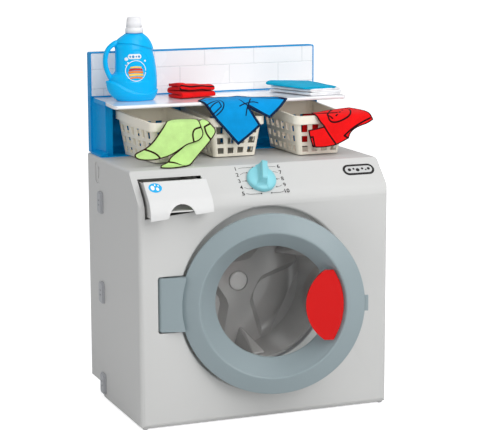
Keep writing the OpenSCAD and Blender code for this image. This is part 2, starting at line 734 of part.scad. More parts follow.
// rows of openings in a wall whose half width grows from half0 to half1
module lattice(half0, half1, columns, hole) {
    rows = [[5.3, 15.5], [22, 33], [39.5, basket_h - basket_rim - 1.5]];
    pitch = 1.8 / columns;
    for (row = rows, k = [0 : columns - 1]) {
        c = -0.9 + pitch * (k + 0.5);
        a = half0 + (half1 - half0) * row[0] / basket_h;
        b = half0 + (half1 - half0) * row[1] / basket_h;
        w = pitch * hole / 2;
        polygon([[(c - w) * a, row[0]], [(c + w) * a, row[0]], [(c + w) * b, row[1]], [(c - w) * b, row[1]]]);
    }
}

module basket() color([0.95, 0.92, 0.85]) {
    difference() {
        flared(0, 0);
        flared(basket_in, basket_in);
        along_y(-basket_l, basket_l) lattice(basket_base_w / 2, top_w / 2, 4, 0.6);
        along_x(-basket_w, basket_w) lattice(basket_base_l / 2, top_l / 2, 6, 0.56);
    }
    rim_plane(basket_h - basket_rim) linear_extrude(basket_rim) difference() {
        rounded_rect_coarse(basket_w, basket_l, 13);
        rounded_rect_coarse(top_w - 3.2, top_l - 3.2, 10.5);
    }
}

// middle of each basket's base and the angle it is turned by
basket_at = [[-125, 177, 6], [-3.5, 198.5, 0], [138.5, 168, 1]];

module place_basket(k) at_front()
    translate([basket_at[k][0], basket_at[k][1], basket_base_z]) rotate([0, 0, basket_at[k][2]]) children();

module basket_left() place_basket(0) basket();
module basket_middle() place_basket(1) basket();
module basket_right() place_basket(2) basket();

// ---- detergent bottle ----------------------------------------------------

// levels of the blown body: [height, left, right, half depth]
body_levels = [[0, -30, 32, 19], [1.5, -32, 34, 21], [12, -37, 39, 23.5],
    [24, -40, 40, 24.5], [36, -43, 40, 24.5],
    [43, -41, 39.6, 24.5], [48, -30.5, 39.2, 24], [70, -30, 36, 23], [88, -30, 31, 21], [93, -33, 29.5, 20],
    [103, -27, 25.5, 17.5], [109, -20, 20.5, 15], [113.5, -14, 16, 12.5], [114.5, -13, 15, 12]];
shoulder_levels = [[80, -31, 35.5, 23.5], [90, -34, 33.5, 23], [97, -34.5, 31, 21.5], [106, -27, 25.5, 18.5],
    [113.5, -14.5, 16.5, 13]];
foot_levels = [[0, -30.5, 33, 19.5], [1.5, -32.5, 35, 21.5], [9, -41, 39.5, 25], [20, -47, 42, 26.5],
    [34, -49.5, 43, 27]];

module bottle_slice(level) translate([(level[1] + level[2]) / 2, 0, level[0]])
    linear_extrude(eps) scale([(level[2] - level[1]) / 2, level[3]]) circle(1, $fn = 32);

module bottle_loft(levels)
    for (k = [0 : len(levels) - 2]) hull() {
        bottle_slice(levels[k]);
        bottle_slice(levels[k + 1]);
    }

// front view of the grip: outer and inner edge, from the shoulder down to the foot
grip_outer = [[-31, 99], [-38, 96], [-44, 91], [-49.5, 82], [-52, 69],
    [-51, 56], [-46.5, 43], [-44, 33], [-38, 30]];
grip_inner = [[-29, 42], [-36, 45.5], [-41, 53], [-44.3, 62], [-44.8, 69], [-43, 77], [-38, 86], [-29, 91]];
// front view of the fold under the shoulder and of the foot's wavy upper edge
fold_line = [[-60, 99], [-33, 98.5], [-9, 97.5], [11, 92], [33, 85], [60, 82]];
foot_line = [[-60, 33], [-49, 32.5], [-38, 28], [-24, 20.5], [-8, 14.5],
    [8, 12], [22, 12.5], [34, 15.5], [44, 19], [60, 19]];

module bottle() color([0.0, 0.66, 0.93]) at_front()
    translate([bottle_x, bottle_y, shelf_h + 0.1]) difference() {
    union() {
        bottle_loft(body_levels);
        intersection() {
            bottle_loft(shoulder_levels);
            along_y(-40, 40) polygon(concat(fold_line, [[60, 130], [-60, 130]]));
        }
        intersection() {
            bottle_loft(foot_levels);
            along_y(-40, 40) polygon(concat([[60, -1], [-60, -1]], foot_line));
        }
        along_y(-5, 5) polygon(concat(grip_outer, grip_inner));
    }
    translate([1, 0, 98]) cylinder(r = 8, h = 30, $fn = 32);
}

module bottle_cap() color([0.96, 0.96, 0.97]) at_front()
    translate([bottle_x + 1, bottle_y, shelf_h + 114.8]) {
        difference() {
            union() {
                cylinder(r = 15.2, h = 7.5, $fn = 64);
                translate([0, 0, 7.5]) cylinder(r1 = 13.6, r2 = 11.5, h = 19, $fn = 64);
            }
            for (a = [0 : 30 : 330])
                rotate([0, 0, a]) translate([13.9, 0, 8.5]) cylinder(r = 1, h = 30, $fn = 16);
        }
        translate([0, 0, -14]) cylinder(r = 7.9, h = 14.5, $fn = 32);
    }

// ---- clothes: closed solids of the outline and fall of each piece ---------

// fall is drawn with depth across and height up, face with width across and height up
module hung(fall, face) at_front() intersection() {
    along_x(-300, 300) polygon(fall);
    along_y(0, 300) polygon(face);
}

module red_cloth() color([0.85, 0.08, 0.08]) at_front() translate([-54, 214, shelf_h + 0.2])
    rotate([0, 0, -15]) linear_extrude(25) rounded_rect(70, 50, 9);

module white_cloth() color([0.93, 0.93, 0.95]) at_front() translate([0, 0, shelf_h + 0.2])
    linear_extrude(11) polygon([[104, 240], [104, 234], [139, 144], [144, 141],
        [200, 149], [203, 153], [187, 236], [183, 240]]);

module teal_cloth() color([0.0, 0.68, 0.83]) at_front() translate([0, 0, shelf_h + 11.4])
    linear_extrude(10) polygon([[94, 236], [94, 230], [128, 148], [133, 145],
        [192, 147], [196, 151], [180, 228], [176, 234]]);

rim_top = basket_base_z + basket_h;

module sock_upper() color([0.75, 0.9, 0.55]) hung(
    [[109, rim_top + 1.6], [109, rim_top + 4.4], [85, rim_top + 4.4], [80, rim_top - 4], [75.5, 440], [78.5, 440],
        [83.5, rim_top - 4], [87, rim_top + 1.4]],
    [[-139, 501], [-92, 501], [-84, 478], [-92, 462], [-118, 452], [-150, 440], [-176, 440], [-198, 444],
        [-199, 451], [-190, 456], [-168, 461], [-148, 478]]);

module sock_lower() color([0.75, 0.9, 0.55]) hung(
    [[109, rim_top + 0.7], [88, rim_top + 0.7], [84.6, rim_top - 4], [79.6, 440], [77.6, 427], [80.6, 427],
        [82.6, 440], [87.2, rim_top - 5], [89.5, rim_top + 0.4], [109, rim_top + 0.4]],
    [[-92, 496], [-78, 496], [-62, 482], [-62, 472], [-78, 452], [-100, 432], [-112, 426], [-150, 426],
        [-156, 429], [-142, 435], [-126, 440], [-98, 456], [-82, 470]]);

module shorts() color([0.0, 0.58, 0.86]) hung(
    [[160, shelf_h + 0.4], [160, shelf_h + 3], [127, shelf_h + 3], [115, rim_top + 2], [112, 440], [115, 440],
        [118, rim_top + 2], [129.8, shelf_h + 0.4]],
    [[-78, 530], [86, 530], [86, 522], [56, 488], [21, 507], [39, 482], [-2, 447], [-70, 518]]);

module shirt() color([0.86, 0.1, 0.08]) {
    hung([[132, rim_top + 4], [132, rim_top + 6.5], [86, rim_top + 3.5], [80, rim_top - 10], [78, 440], [81, 440],
        [83, rim_top - 10], [87, rim_top + 0.6], [90, rim_top + 0.8]],
        [[112, 503], [182, 510], [232, 486], [200, 462], [186, 452],
            [162, 441], [119, 440], [110, 470], [135, 476]]);
    // part that hangs down inside, behind the lattice
    hung([[92, rim_top + 1.4], [92, rim_top + 3.8], [101, rim_top + 3.8], [114, 432], [110.5, 432],
        [98.4, rim_top + 0.7]],
        [[106, 505], [170, 505], [166, 430], [110, 430]]);
}

front_shell();
rear_shell();
base_panel();
foot_pads();
side_clips();
tub();
drum_axle();
drum();
hub_cap();
door_ring();
door_back();
door_window();
door_handle();
latch_tab();
hinge_pin();
drawer_front();
drawer_tray();
drawer_guide();
knob();
knob_shaft();
knob_clip();
sound_case();
circuit_board();
speaker();
batteries();
battery_cover();
case_screws();
shelf_unit();
tile_panel();
shelf();
basket_left();
basket_middle();
basket_right();
bottle();
bottle_cap();
red_cloth();
white_cloth();
teal_cloth();
sock_upper();
sock_lower();
shorts();
shirt();
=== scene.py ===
import bpy
import bmesh
import json
import math
from mathutils import Matrix, Vector, noise
from mathutils.bvhtree import BVHTree
from mathutils.geometry import delaunay_2d_cdt


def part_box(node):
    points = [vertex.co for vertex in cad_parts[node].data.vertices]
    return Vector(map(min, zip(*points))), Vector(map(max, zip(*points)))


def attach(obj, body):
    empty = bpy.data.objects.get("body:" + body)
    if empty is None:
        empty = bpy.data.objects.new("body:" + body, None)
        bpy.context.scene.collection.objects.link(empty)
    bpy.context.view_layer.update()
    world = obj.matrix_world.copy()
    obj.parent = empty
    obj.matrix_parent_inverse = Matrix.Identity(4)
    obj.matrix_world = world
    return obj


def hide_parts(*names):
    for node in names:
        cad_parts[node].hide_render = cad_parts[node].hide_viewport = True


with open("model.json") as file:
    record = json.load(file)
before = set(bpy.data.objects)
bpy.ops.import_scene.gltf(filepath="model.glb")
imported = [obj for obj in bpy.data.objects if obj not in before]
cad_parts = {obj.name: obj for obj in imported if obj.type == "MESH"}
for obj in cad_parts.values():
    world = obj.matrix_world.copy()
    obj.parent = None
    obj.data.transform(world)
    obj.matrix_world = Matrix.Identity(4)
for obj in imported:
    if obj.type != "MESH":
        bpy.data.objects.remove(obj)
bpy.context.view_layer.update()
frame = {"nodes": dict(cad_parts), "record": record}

# Studio: a pale paper floor that runs out of view under soft boxes.
# The paper glows a little for the camera only, so that it stays white to the horizon.
studio_scene = bpy.context.scene
floor_mesh = bpy.data.meshes.new("studio_floor")
floor_reach = 60
floor_corners = [(x * floor_reach, y * floor_reach, 0) for x, y in ((-1, -1), (1, -1), (1, 1), (-1, 1))]
floor_mesh.from_pydata(floor_corners, [], [(0, 1, 2, 3)])
studio_floor = bpy.data.objects.new("studio_floor", floor_mesh)
studio_scene.collection.objects.link(studio_floor)


def set_sockets(node, values):
    for socket, value in values.items():
        node.inputs[socket].default_value = value
    return node


def add_node(tree, kind, values=None, operation=None):
    """A new node with its operation and its sockets' own values set."""
    node = tree.nodes.new(kind)
    if operation:
        node.operation = operation
    return set_sockets(node, values or {})


def wire(tree, *pairs):
    for out, into in pairs:
        tree.links.new(out, into)


paper = bpy.data.materials.new("studio_paper")
paper.use_nodes = True
paper_tree = paper.node_tree
paper_finish = set_sockets(paper_tree.nodes["Principled BSDF"], {
    "Base Color": (0.8, 0.8, 0.8, 1), "Roughness": 0.9, "Specular IOR Level": 0.1,
    "Emission Color": (1, 1, 1, 1)})
paper_ray = add_node(paper_tree, "ShaderNodeLightPath")
paper_glow = add_node(paper_tree, "ShaderNodeMath", {1: 0.72}, "MULTIPLY")
wire(paper_tree, (paper_ray.outputs["Is Camera Ray"], paper_glow.inputs[0]),
     (paper_glow.outputs[0], paper_finish.inputs["Emission Strength"]))
floor_mesh.materials.append(paper)

surround = bpy.data.worlds.new("studio_surround")
surround.use_nodes = True
surround_tree = surround.node_tree
surround_fill = surround_tree.nodes["Background"]
set_sockets(surround_fill, {"Color": (0.97, 0.98, 1, 1), "Strength": 0.53})
surround_white = add_node(surround_tree, "ShaderNodeBackground", {"Color": (1, 1, 1, 1), "Strength": 1.05})
surround_ray = add_node(surround_tree, "ShaderNodeLightPath")
surround_mix = add_node(surround_tree, "ShaderNodeMixShader")
wire(surround_tree, (surround_ray.outputs["Is Camera Ray"], surround_mix.inputs["Fac"]),
     (surround_fill.outputs[0], surround_mix.inputs[1]),
     (surround_white.outputs[0], surround_mix.inputs[2]),
     (surround_mix.outputs[0], surround_tree.nodes["World Output"].inputs["Surface"]))
studio_scene.world = surround
studio_scene.view_settings.view_transform = "Standard"


def soft_box(name, place, aim, size, watts):
    light = bpy.data.lights.new(name, "AREA")
    light.shape = "RECTANGLE"
    light.size, light.size_y = size
    light.energy = watts
    box = bpy.data.objects.new(name, light)
    box.location = place
    box.rotation_euler = (Vector(aim) - Vector(place)).to_track_quat("-Z", "Y").to_euler()
    studio_scene.collection.objects.link(box)


soft_box("soft_box_above", (0.5, -1.0, 2.0), (0, 0, 0.35), (1.8, 1.2), 14)
soft_box("soft_box_front", (0.5, -2.7, 1.5), (0, 0, 0.35), (1.6, 1.6), 28)
soft_box("soft_box_left", (-2.3, -0.7, 1.1), (0, 0, 0.3), (1.4, 1.4), 5)

camera_data = bpy.data.cameras.new("studio_camera")
camera_data.sensor_width = 36.0
camera_data.lens = 129.16
camera = bpy.data.objects.new("studio_camera", camera_data)
studio_scene.collection.objects.link(camera)
camera_at = (-1.1074, -2.8432, 0.8662)
yaw, pitch, roll = 0.380, -0.181, -0.003
camera_ahead = Vector((math.sin(yaw) * math.cos(pitch), math.cos(yaw) * math.cos(pitch), math.sin(pitch)))
camera_side = Vector((math.cos(yaw), -math.sin(yaw), 0))
camera_up = camera_side.cross(camera_ahead)
turned_side = camera_side * math.cos(roll) + camera_up * math.sin(roll)
turned_up = camera_up * math.cos(roll) - camera_side * math.sin(roll)
camera_turn = Matrix((turned_side, turned_up, -camera_ahead)).transposed().to_4x4()
camera.matrix_world = Matrix.Translation(camera_at) @ camera_turn
studio_scene.camera = camera

# Cabinet: front and rear shells of light grey blow-moulded polyethylene with a fine satin grain,
# snapped together along a seam at the sides, on a closing panel with four rubber pads.
node_slot = {part["node"]: part["material_slot"] for part in frame["record"]["subparts"]}
bodies = frame["record"]["behaviour"]["bodies"]
node_body = {node: body for body, members in bodies.items() for node in members}


def tint(red, green, blue):
    """A screen colour, 0 to 255 a channel, as the linear colour that shaders work in."""
    shares = [c / 255 for c in (red, green, blue)]
    return tuple(c / 12.92 if c < 0.0404 else ((c + 0.055) / 1.055) ** 2.4 for c in shares) + (1,)


def shader_group(name, inputs, outputs):
    group = bpy.data.node_groups.new(name, "ShaderNodeTree")
    for label, kind, value in inputs:
        group.interface.new_socket(label, in_out="INPUT", socket_type=kind).default_value = value
    for label, kind in outputs:
        group.interface.new_socket(label, in_out="OUTPUT", socket_type=kind)
    return group, group.nodes.new("NodeGroupInput"), group.nodes.new("NodeGroupOutput")


moulded_skin, skin_in, skin_out = shader_group(
    "moulded_skin",
    [("Colour", "NodeSocketColor", (0.6, 0.6, 0.6, 1)), ("Roughness", "NodeSocketFloat", 0.4),
     ("Drift", "NodeSocketFloat", 0.04), ("Grain", "NodeSocketFloat", 1400)],
    [("Colour", "NodeSocketColor"), ("Roughness", "NodeSocketFloat"), ("Height", "NodeSocketFloat")])
skin_place = add_node(moulded_skin, "ShaderNodeTexCoord")
skin_cloud = add_node(moulded_skin, "ShaderNodeTexNoise", {"Scale": 9, "Detail": 3})
skin_centre = add_node(moulded_skin, "ShaderNodeMath", {1: 0.5}, "SUBTRACT")
skin_drift = add_node(moulded_skin, "ShaderNodeMath", {2: 1}, "MULTIPLY_ADD")
skin_shade = add_node(moulded_skin, "ShaderNodeHueSaturation")
skin_grain = add_node(moulded_skin, "ShaderNodeTexNoise", {"Detail": 2})
skin_rough = add_node(moulded_skin, "ShaderNodeMath", {1: 0.25}, "MULTIPLY_ADD")
wire(moulded_skin,
     (skin_place.outputs["Object"], skin_cloud.inputs["Vector"]),
     (skin_place.outputs["Object"], skin_grain.inputs["Vector"]),
     (skin_in.outputs["Grain"], skin_grain.inputs["Scale"]),
     (skin_cloud.outputs["Fac"], skin_centre.inputs[0]),
     (skin_centre.outputs[0], skin_drift.inputs[0]),
     (skin_in.outputs["Drift"], skin_drift.inputs[1]),
     (skin_drift.outputs[0], skin_shade.inputs["Value"]),
     (skin_in.outputs["Colour"], skin_shade.inputs["Color"]),
     (skin_centre.outputs[0], skin_rough.inputs[0]),
     (skin_in.outputs["Roughness"], skin_rough.inputs[2]),
     (skin_shade.outputs[0], skin_out.inputs["Colour"]),
     (skin_rough.outputs[0], skin_out.inputs["Roughness"]),
     (skin_grain.outputs["Fac"], skin_out.inputs["Height"]))


def plastic(name, colour, roughness, drift=0.12, grain=1400, depth=0.2, coat=0.0, metallic=0.0, shine=0.4):
    finish = bpy.data.materials.new(name)
    finish.use_nodes = True
    tree = finish.node_tree
    surface = set_sockets(tree.nodes["Principled BSDF"], {
        "Metallic": metallic, "Specular IOR Level": shine, "Coat Weight": coat, "Coat Roughness": 0.08})
    skin = tree.nodes.new("ShaderNodeGroup")
    skin.node_tree = moulded_skin
    set_sockets(skin, {"Colour": colour, "Roughness": roughness, "Drift": drift, "Grain": grain})
    relief = add_node(tree, "ShaderNodeBump", {"Strength": depth, "Distance": 0.0002})
    wire(tree, (skin.outputs["Colour"], surface.inputs["Base Color"]),
         (skin.outputs["Roughness"], surface.inputs["Roughness"]),
         (skin.outputs["Height"], relief.inputs["Height"]),
         (relief.outputs[0], surface.inputs["Normal"]))
    return finish


def finished_mesh(form, name):
    """The worked form as a mesh; the form itself is let go."""
    mesh = bpy.data.meshes.new(name)
    form.to_mesh(mesh)
    form.free()
    return mesh


def place_piece(name, mesh, body, slot, finish, *replaced):
    piece = bpy.data.objects.new(name, mesh)
    studio_scene.collection.objects.link(piece)
    mesh.materials.clear()
    mesh.materials.append(finish)
    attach(piece, body)
    if replaced:
        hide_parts(*replaced)
    return piece


def baked(piece):
    """The piece's mesh with its modifiers worked in, or a curve's as a mesh."""
    bpy.context.view_layer.update()
    done = bpy.data.meshes.new_from_object(piece.evaluated_get(bpy.context.evaluated_depsgraph_get()))
    piece.modifiers.clear()
    return done


def softened(node, finish, edge=0.0006, crease=32):
    """A copy of a moulding with its facets merged and its edges broken, in place of the plain one."""
    form = bmesh.new()
    form.from_mesh(frame["nodes"][node].data)
    bmesh.ops.remove_doubles(form, verts=form.verts, dist=0.000004)
    bmesh.ops.dissolve_limit(form, angle_limit=math.radians(0.3), verts=form.verts, edges=form.edges)
    for face in form.faces:
        face.smooth = True
    for line in form.edges:
        line.smooth = len(line.link_faces) == 2 and line.calc_face_angle(3.2) < math.radians(crease)
    name = node + "_moulding"
    piece = place_piece(name, finished_mesh(form, name), node_body[node], node_slot[node], finish, node)
    if edge:
        broken = piece.modifiers.new("broken_edges", "BEVEL")
        broken.width = edge
        broken.segments = 2
        broken.limit_method = "ANGLE"
        broken.angle_limit = math.radians(crease)
        broken.harden_normals = True
        piece.data = baked(piece)
    return piece


cabinet_grey = plastic("cabinet_grey", tint(205, 205, 203), 0.42, 0.05, 1500, 0.25)
softened("front_shell", cabinet_grey, 0.0008)
softened("rear_shell", cabinet_grey, 0.0008)
softened("battery_cover", cabinet_grey, 0.0005)
softened("base_panel", plastic("base_grey", tint(188, 188, 187), 0.5), 0.0006)
softened("foot_pads", plastic("pad_rubber", tint(150, 150, 151), 0.75, 0.2, 2200, 0.5), 0.0004)
softened("side_clips", plastic("clip_grey", tint(180, 182, 185), 0.42), 0.0006)
steel = plastic("plain_steel", tint(170, 170, 172), 0.3, 0.1, 3000, 0.1, 0, 1.0)
softened("case_screws", steel, 0.0002)
softened("hinge_pin", steel, 0.0003)

# Tub and drum: a grey moulded tub screwed behind the mouth, and a glossy brownish grey drum with a
# three-armed back and three lifting fins, which turns on a steel axle under a round cap.
softened("tub", plastic("tub_grey", tint(128, 129, 131), 0.45), 0.0006)
softened("drum_axle", steel, 0.0003)
drum_gloss = plastic("drum_gloss", tint(160, 157, 155), 0.16, 0.06, 200, 0.004, 0.8, 0, 0.6)
softened("drum", drum_gloss, 0.0009, 38)
softened("hub_cap", plastic("hub_gloss", tint(196, 193, 191), 0.22, 0.06, 300, 0.01, 0.5, 0, 0.6), 0.0006)

# Door: a blue-grey moulded ring with a sunk clear window, hung on a steel pin at the left.
# The red handle is a separate glossy moulding pressed into the ring.
door_grey = plastic("door_grey", tint(146, 160, 164), 0.38, 0.05, 1300, 0.2)
softened("door_ring", door_grey, 0.0009)
softened("door_back", door_grey, 0.0004)
softened("latch_tab", door_grey, 0.0006)
softened("door_handle", plastic("handle_red", tint(212, 0, 0), 0.2, 0.03, 500, 0.03, 0.15, 0, 0.2), 0.0008)
window_clear = bpy.data.materials.new("window_clear")
window_clear.use_nodes = True
window_tree = window_clear.node_tree
window_pane = set_sockets(window_tree.nodes["Principled BSDF"], {
    "Base Color": (0.97, 0.985, 0.98, 1), "Transmission Weight": 1, "IOR": 1.3})
window_place = add_node(window_tree, "ShaderNodeTexCoord")
window_haze = add_node(window_tree, "ShaderNodeTexNoise", {"Scale": 18})
window_polish = add_node(window_tree, "ShaderNodeMapRange", {"To Min": 0.0, "To Max": 0.012})
window_ray = add_node(window_tree, "ShaderNodeLightPath")
window_open = add_node(window_tree, "ShaderNodeBsdfTransparent")
window_mix = add_node(window_tree, "ShaderNodeMixShader")
wire(window_tree, (window_place.outputs["Object"], window_haze.inputs["Vector"]),
     (window_haze.outputs["Fac"], window_polish.inputs["Value"]),
     (window_polish.outputs[0], window_pane.inputs["Roughness"]),
     (window_ray.outputs["Is Shadow Ray"], window_mix.inputs["Fac"]),
     (window_pane.outputs[0], window_mix.inputs[1]),
     (window_open.outputs[0], window_mix.inputs[2]),
     (window_mix.outputs[0], window_tree.nodes["Material Output"].inputs["Surface"]))
softened("door_window", window_clear, 0.0004)

# Drawer: an off-white front with a finger scoop, on a grey tray that slides in a guide.
# A small oval sticker with bubbles lies on the front's upper left corner.
drawer_white = plastic("drawer_white", tint(220, 220, 219), 0.38, 0.04, 1300, 0.2)
softened("drawer_front", drawer_white, 0.0008)
tray_grey = plastic("tray_grey", tint(206, 206, 203), 0.5)
softened("drawer_tray", tray_grey, 0.0005)
softened("drawer_guide", tray_grey, 0.0005)


def skin_rings(form, rings):
    """Closes a row of rings of points into a skin with a face at each end."""
    for low, high in zip(rings[:-1], rings[1:]):
        for k in range(len(low)):
            n = (k + 1) % len(low)
            form.faces.new((low[k], low[n], high[n], high[k]))
    form.faces.new(rings[0][::-1])
    form.faces.new(rings[-1])


def flat_print(name, loops, face, body, slot, finish, height=0.00012):
    """Thin printed shapes: each loop is a closed outline of (across, up) mm that face() puts in place."""
    form = bmesh.new()
    for loop in loops:
        skin_rings(form, [[form.verts.new(face(a, b, out)) for a, b in loop] for out in (0, height)])
    bmesh.ops.triangulate(form, faces=[f for f in form.faces if len(f.verts) > 4])
    bmesh.ops.recalc_face_normals(form, faces=form.faces)
    return place_piece(name, finished_mesh(form, name), body, slot, finish)


def disc(x, z, r, steps=28):
    turns = [2 * math.pi * k / steps for k in range(steps)]
    return [(x + r * math.cos(turn), z + r * math.sin(turn)) for turn in turns]


def stroke(points, width):
    """Outline of a pen line along the points."""
    left, right = [], []
    for k, p in enumerate(points):
        before, after = points[max(k - 1, 0)], points[min(k + 1, len(points) - 1)]
        run = Vector((after[0] - before[0], after[1] - before[1])).normalized()
        left.append((p[0] - run.y * width / 2, p[1] + run.x * width / 2))
        right.append((p[0] + run.y * width / 2, p[1] - run.x * width / 2))
    return left + right[::-1]


drawer_low, drawer_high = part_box("drawer_front")
drawer_form = frame["nodes"]["drawer_front"].data
drawer_wall = BVHTree.FromPolygons([v.co for v in drawer_form.vertices],
                                   [p.vertices[:] for p in drawer_form.polygons])


def drawer_face(x, z, out):
    """Point on the drawer's curved front, across and down from its upper left corner in mm."""
    across, up = drawer_low[0] + x / 1000, drawer_high[2] + z / 1000
    met = drawer_wall.ray_cast((across, drawer_low[1] - 0.05, up), (0, 1, 0))[0]
    return Vector((across, met.y + 0.00008 - out, up))


sticker_x, sticker_z, sticker_tall, sticker_stretch = 17, -8.2, 6.6, 1.7
sticker_edge = [(sticker_x + (x - sticker_x) * sticker_stretch, z)
                for x, z in disc(sticker_x, sticker_z, sticker_tall, 48)]
flat_print("drawer_sticker", [sticker_edge], drawer_face, "drawer", "knob",
           plastic("sticker_blue", tint(30, 176, 236), 0.3, 0.06, 800, 0.05, shine=0.2), 0.0003)
sticker_marks = [disc(12.6, -8, 3.2), disc(20.4, -10, 2.4), disc(17.4, -4.2, 1.2), disc(22.8, -5.4, 1)]
flat_print("drawer_sticker_bubbles", sticker_marks, drawer_face, "drawer", "shelf",
           plastic("sticker_white", tint(245, 246, 247), 0.35, 0.05, 800, 0.05), 0.00045)

# Knob: a pale turquoise disc with a raised grip on a snapped-in shaft.
# Dots, leader lines and numbers are printed on the slope round it.
knob_blue = plastic("knob_turquoise", tint(140, 212, 223), 0.3, 0.05, 700, 0.06, 0.2, 0, 0.3)
softened("knob", knob_blue, 0.0007, 36)
softened("knob_shaft", knob_blue, 0.0003)
softened("knob_clip", steel, 0.0002)
half_depth = 0.146  # from the cabinet's front face back to the middle of its depth
slope_rise, slope_run, slope_foot = 49, 50, 0.375
knob_back = 0.0255
slope_angle = math.atan2(slope_rise, slope_run)
knob_height = slope_foot + knob_back * math.tan(slope_angle)


def slope_face(x, w, out):
    """Point on the sloped panel, across and up the slope from the knob's middle in mm."""
    up_slope = Vector((0, math.cos(slope_angle), math.sin(slope_angle)))
    off_slope = Vector((0, -math.sin(slope_angle), math.cos(slope_angle)))
    middle = Vector((x / 1000, knob_back - half_depth, knob_height))
    return middle + up_slope * w / 1000 + off_slope * (out - 0.00003)


dial_ink = plastic("dial_ink", tint(40, 38, 38), 0.55, 0.2, 900, 0.05, shine=0.2)
dial_dots = [(-7.5, 27), (-20.5, 16.5), (-27, 0), (-20.5, -16.5), (-7, -27.5),
             (14, 26), (23.5, 15.5), (28.5, 0), (23.5, -16), (11, -27.5)]
dial_rows = [25.5, 13, 0, -13, -25.5]
leader_run, leader_bend, leader_end, leader_wide = 27, 31, 33.5, 0.65
number_at = 38.5
dial_lines = []
for k, (x, w) in enumerate(dial_dots):
    side = -1 if k < 5 else 1
    row = dial_rows[k % 5]
    start = side * leader_run if abs(x) < 25 else x + side * 2
    bends = [(x, w), (start, w), (side * leader_bend, (w + row) / 2), (side * leader_end, row)]
    dial_lines.append(stroke(bends, leader_wide))
flat_print("dial_leaders", dial_lines + [disc(x, w, 1.25, 20) for x, w in dial_dots],
           slope_face, "cabinet", "dark", dial_ink)
number_form = bmesh.new()
for k in range(10):
    numeral = bpy.data.curves.new("numeral", "FONT")
    numeral.body = str(k + 1)
    numeral.size = 10.5
    numeral.offset = 0.12
    numeral.align_x, numeral.align_y = "CENTER", "CENTER"
    numeral_piece = bpy.data.objects.new("numeral", numeral)
    studio_scene.collection.objects.link(numeral_piece)
    shape = baked(numeral_piece)
    shape.transform(Matrix.Translation(((-number_at if k < 5 else number_at), dial_rows[k % 5], 0)))
    number_form.from_mesh(shape)
    bpy.data.objects.remove(numeral_piece)
    bpy.data.meshes.remove(shape)
ink_depth = 0.12
raised = bmesh.ops.extrude_face_region(number_form, geom=number_form.faces[:])
for part in raised["geom"]:
    if isinstance(part, bmesh.types.BMVert):
        part.co.z = ink_depth
for v in number_form.verts:
    v.co = slope_face(v.co.x, v.co.y, v.co.z / 1000)
bmesh.ops.recalc_face_normals(number_form, faces=number_form.faces)
place_piece("dial_numbers", finished_mesh(number_form, "dial_numbers"), "cabinet", "dark", dial_ink)

# Badge: a long round-ended nameplate pressed onto the right of the slope.
# It is a dark plastic rim round a grey face with plain round marks.


def stadium(x, w, long, high, steps=14):
    """Outline of a bar with round ends."""
    r = high / 2
    arc = [math.radians(180 * k / steps) for k in range(steps + 1)]
    ends = [(x + long / 2 - r, -math.pi / 2), (x - long / 2 + r, math.pi / 2)]
    return [(cx + r * math.cos(start + a), w + r * math.sin(start + a)) for cx, start in ends for a in arc]


badge_x, badge_w = 181, 8.5
badge_marks = [(-17, 0, 3), (-9, 1.5, 2), (-2, -1, 3.4), (7, 1.2, 2.2), (13, -1.4, 1.5), (18.5, 0.5, 2.7)]
flat_print("slope_badge_edge", [stadium(badge_x, badge_w, 58, 22)],
           slope_face, "cabinet", "dark", dial_ink, 0.0005)
flat_print("slope_badge_face", [stadium(badge_x, badge_w, 50, 14)], slope_face, "cabinet", "cabinet",
           plastic("badge_grey", tint(196, 197, 196), 0.4), 0.0007)
flat_print("slope_badge_bubbles", [disc(badge_x + x, badge_w + w, r) for x, w, r in badge_marks],
           slope_face, "cabinet", "dark", dial_ink, 0.0009)

# Sound unit: a black moulded case with its board and speaker, screwed inside the cabinet's back.
# Three battery cells lie under a cover there.
black_plastic = plastic("black_plastic", tint(38, 38, 40), 0.5, 0.2, 1200, 0.2)
softened("sound_case", black_plastic, 0.0004)
softened("speaker", plastic("speaker_black", tint(30, 30, 31), 0.65, 0.2, 2600, 0.5), 0.0003)
softened("circuit_board", plastic("board_green", tint(28, 92, 50), 0.35, 0.25, 400, 0.1), 0.0002)
softened("batteries", plastic("cell_jacket", tint(176, 142, 66), 0.35, 0.15, 900, 0.05, 0.2, 0.6), 0.0004)

# Shelf unit: a glossy blue moulding that stands on the cabinet's rear edge.
# It carries a white sheet with moulded tiles and grey grout, and a thick white shelf.
unit_blue = plastic("unit_blue", tint(0, 152, 218), 0.26, 0.05, 600, 0.04, 0, 0, 0.12)
softened("shelf_unit", unit_blue, 0.0007)
softened("tile_panel", plastic("tile_white", tint(246, 246, 247), 0.24, 0.02, 500, 0.04, 0.3), 0.0003)
panel_low, panel_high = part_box("tile_panel")
tile_face = 0.1296  # the tiles' front, sunk a little behind the panel's rim


def panel_face(x, z, out):
    return Vector(((panel_low[0] + panel_high[0]) / 2 + x / 1000, tile_face + 0.00004 - out, z / 1000))


tile_long, grout_half, grout_gap, row_reach = 93.5, 0.55, 0.7, 208
grout_rows = [panel_low[2] * 1000] + [panel_high[2] * 1000 - down for down in (61.3, 27.5, 0)]


def grout_line(left, right, low, high):
    return [(left, low), (right, low), (right, high), (left, high)]


grout_lines = [grout_line(-row_reach, row_reach, z - grout_half, z + grout_half) for z in grout_rows[1:3]]
for row in range(3):
    for k in range(-2, 3):
        x = (0.5, -46.1)[row % 2] + k * tile_long
        if abs(x) < row_reach - 1:
            low, high = grout_rows[row] + grout_gap, grout_rows[row + 1] - grout_gap
            grout_lines.append(grout_line(x - grout_half, x + grout_half, low, high))
flat_print("tile_grout", grout_lines, panel_face, "cabinet", "cabinet",
           plastic("grout_grey", tint(220, 222, 224), 0.6, 0.06, 900, 0.1), 0.0001)
softened("shelf", plastic("shelf_white", tint(246, 246, 249), 0.18, 0.03, 500, 0.03, 0.6), 0.0009)

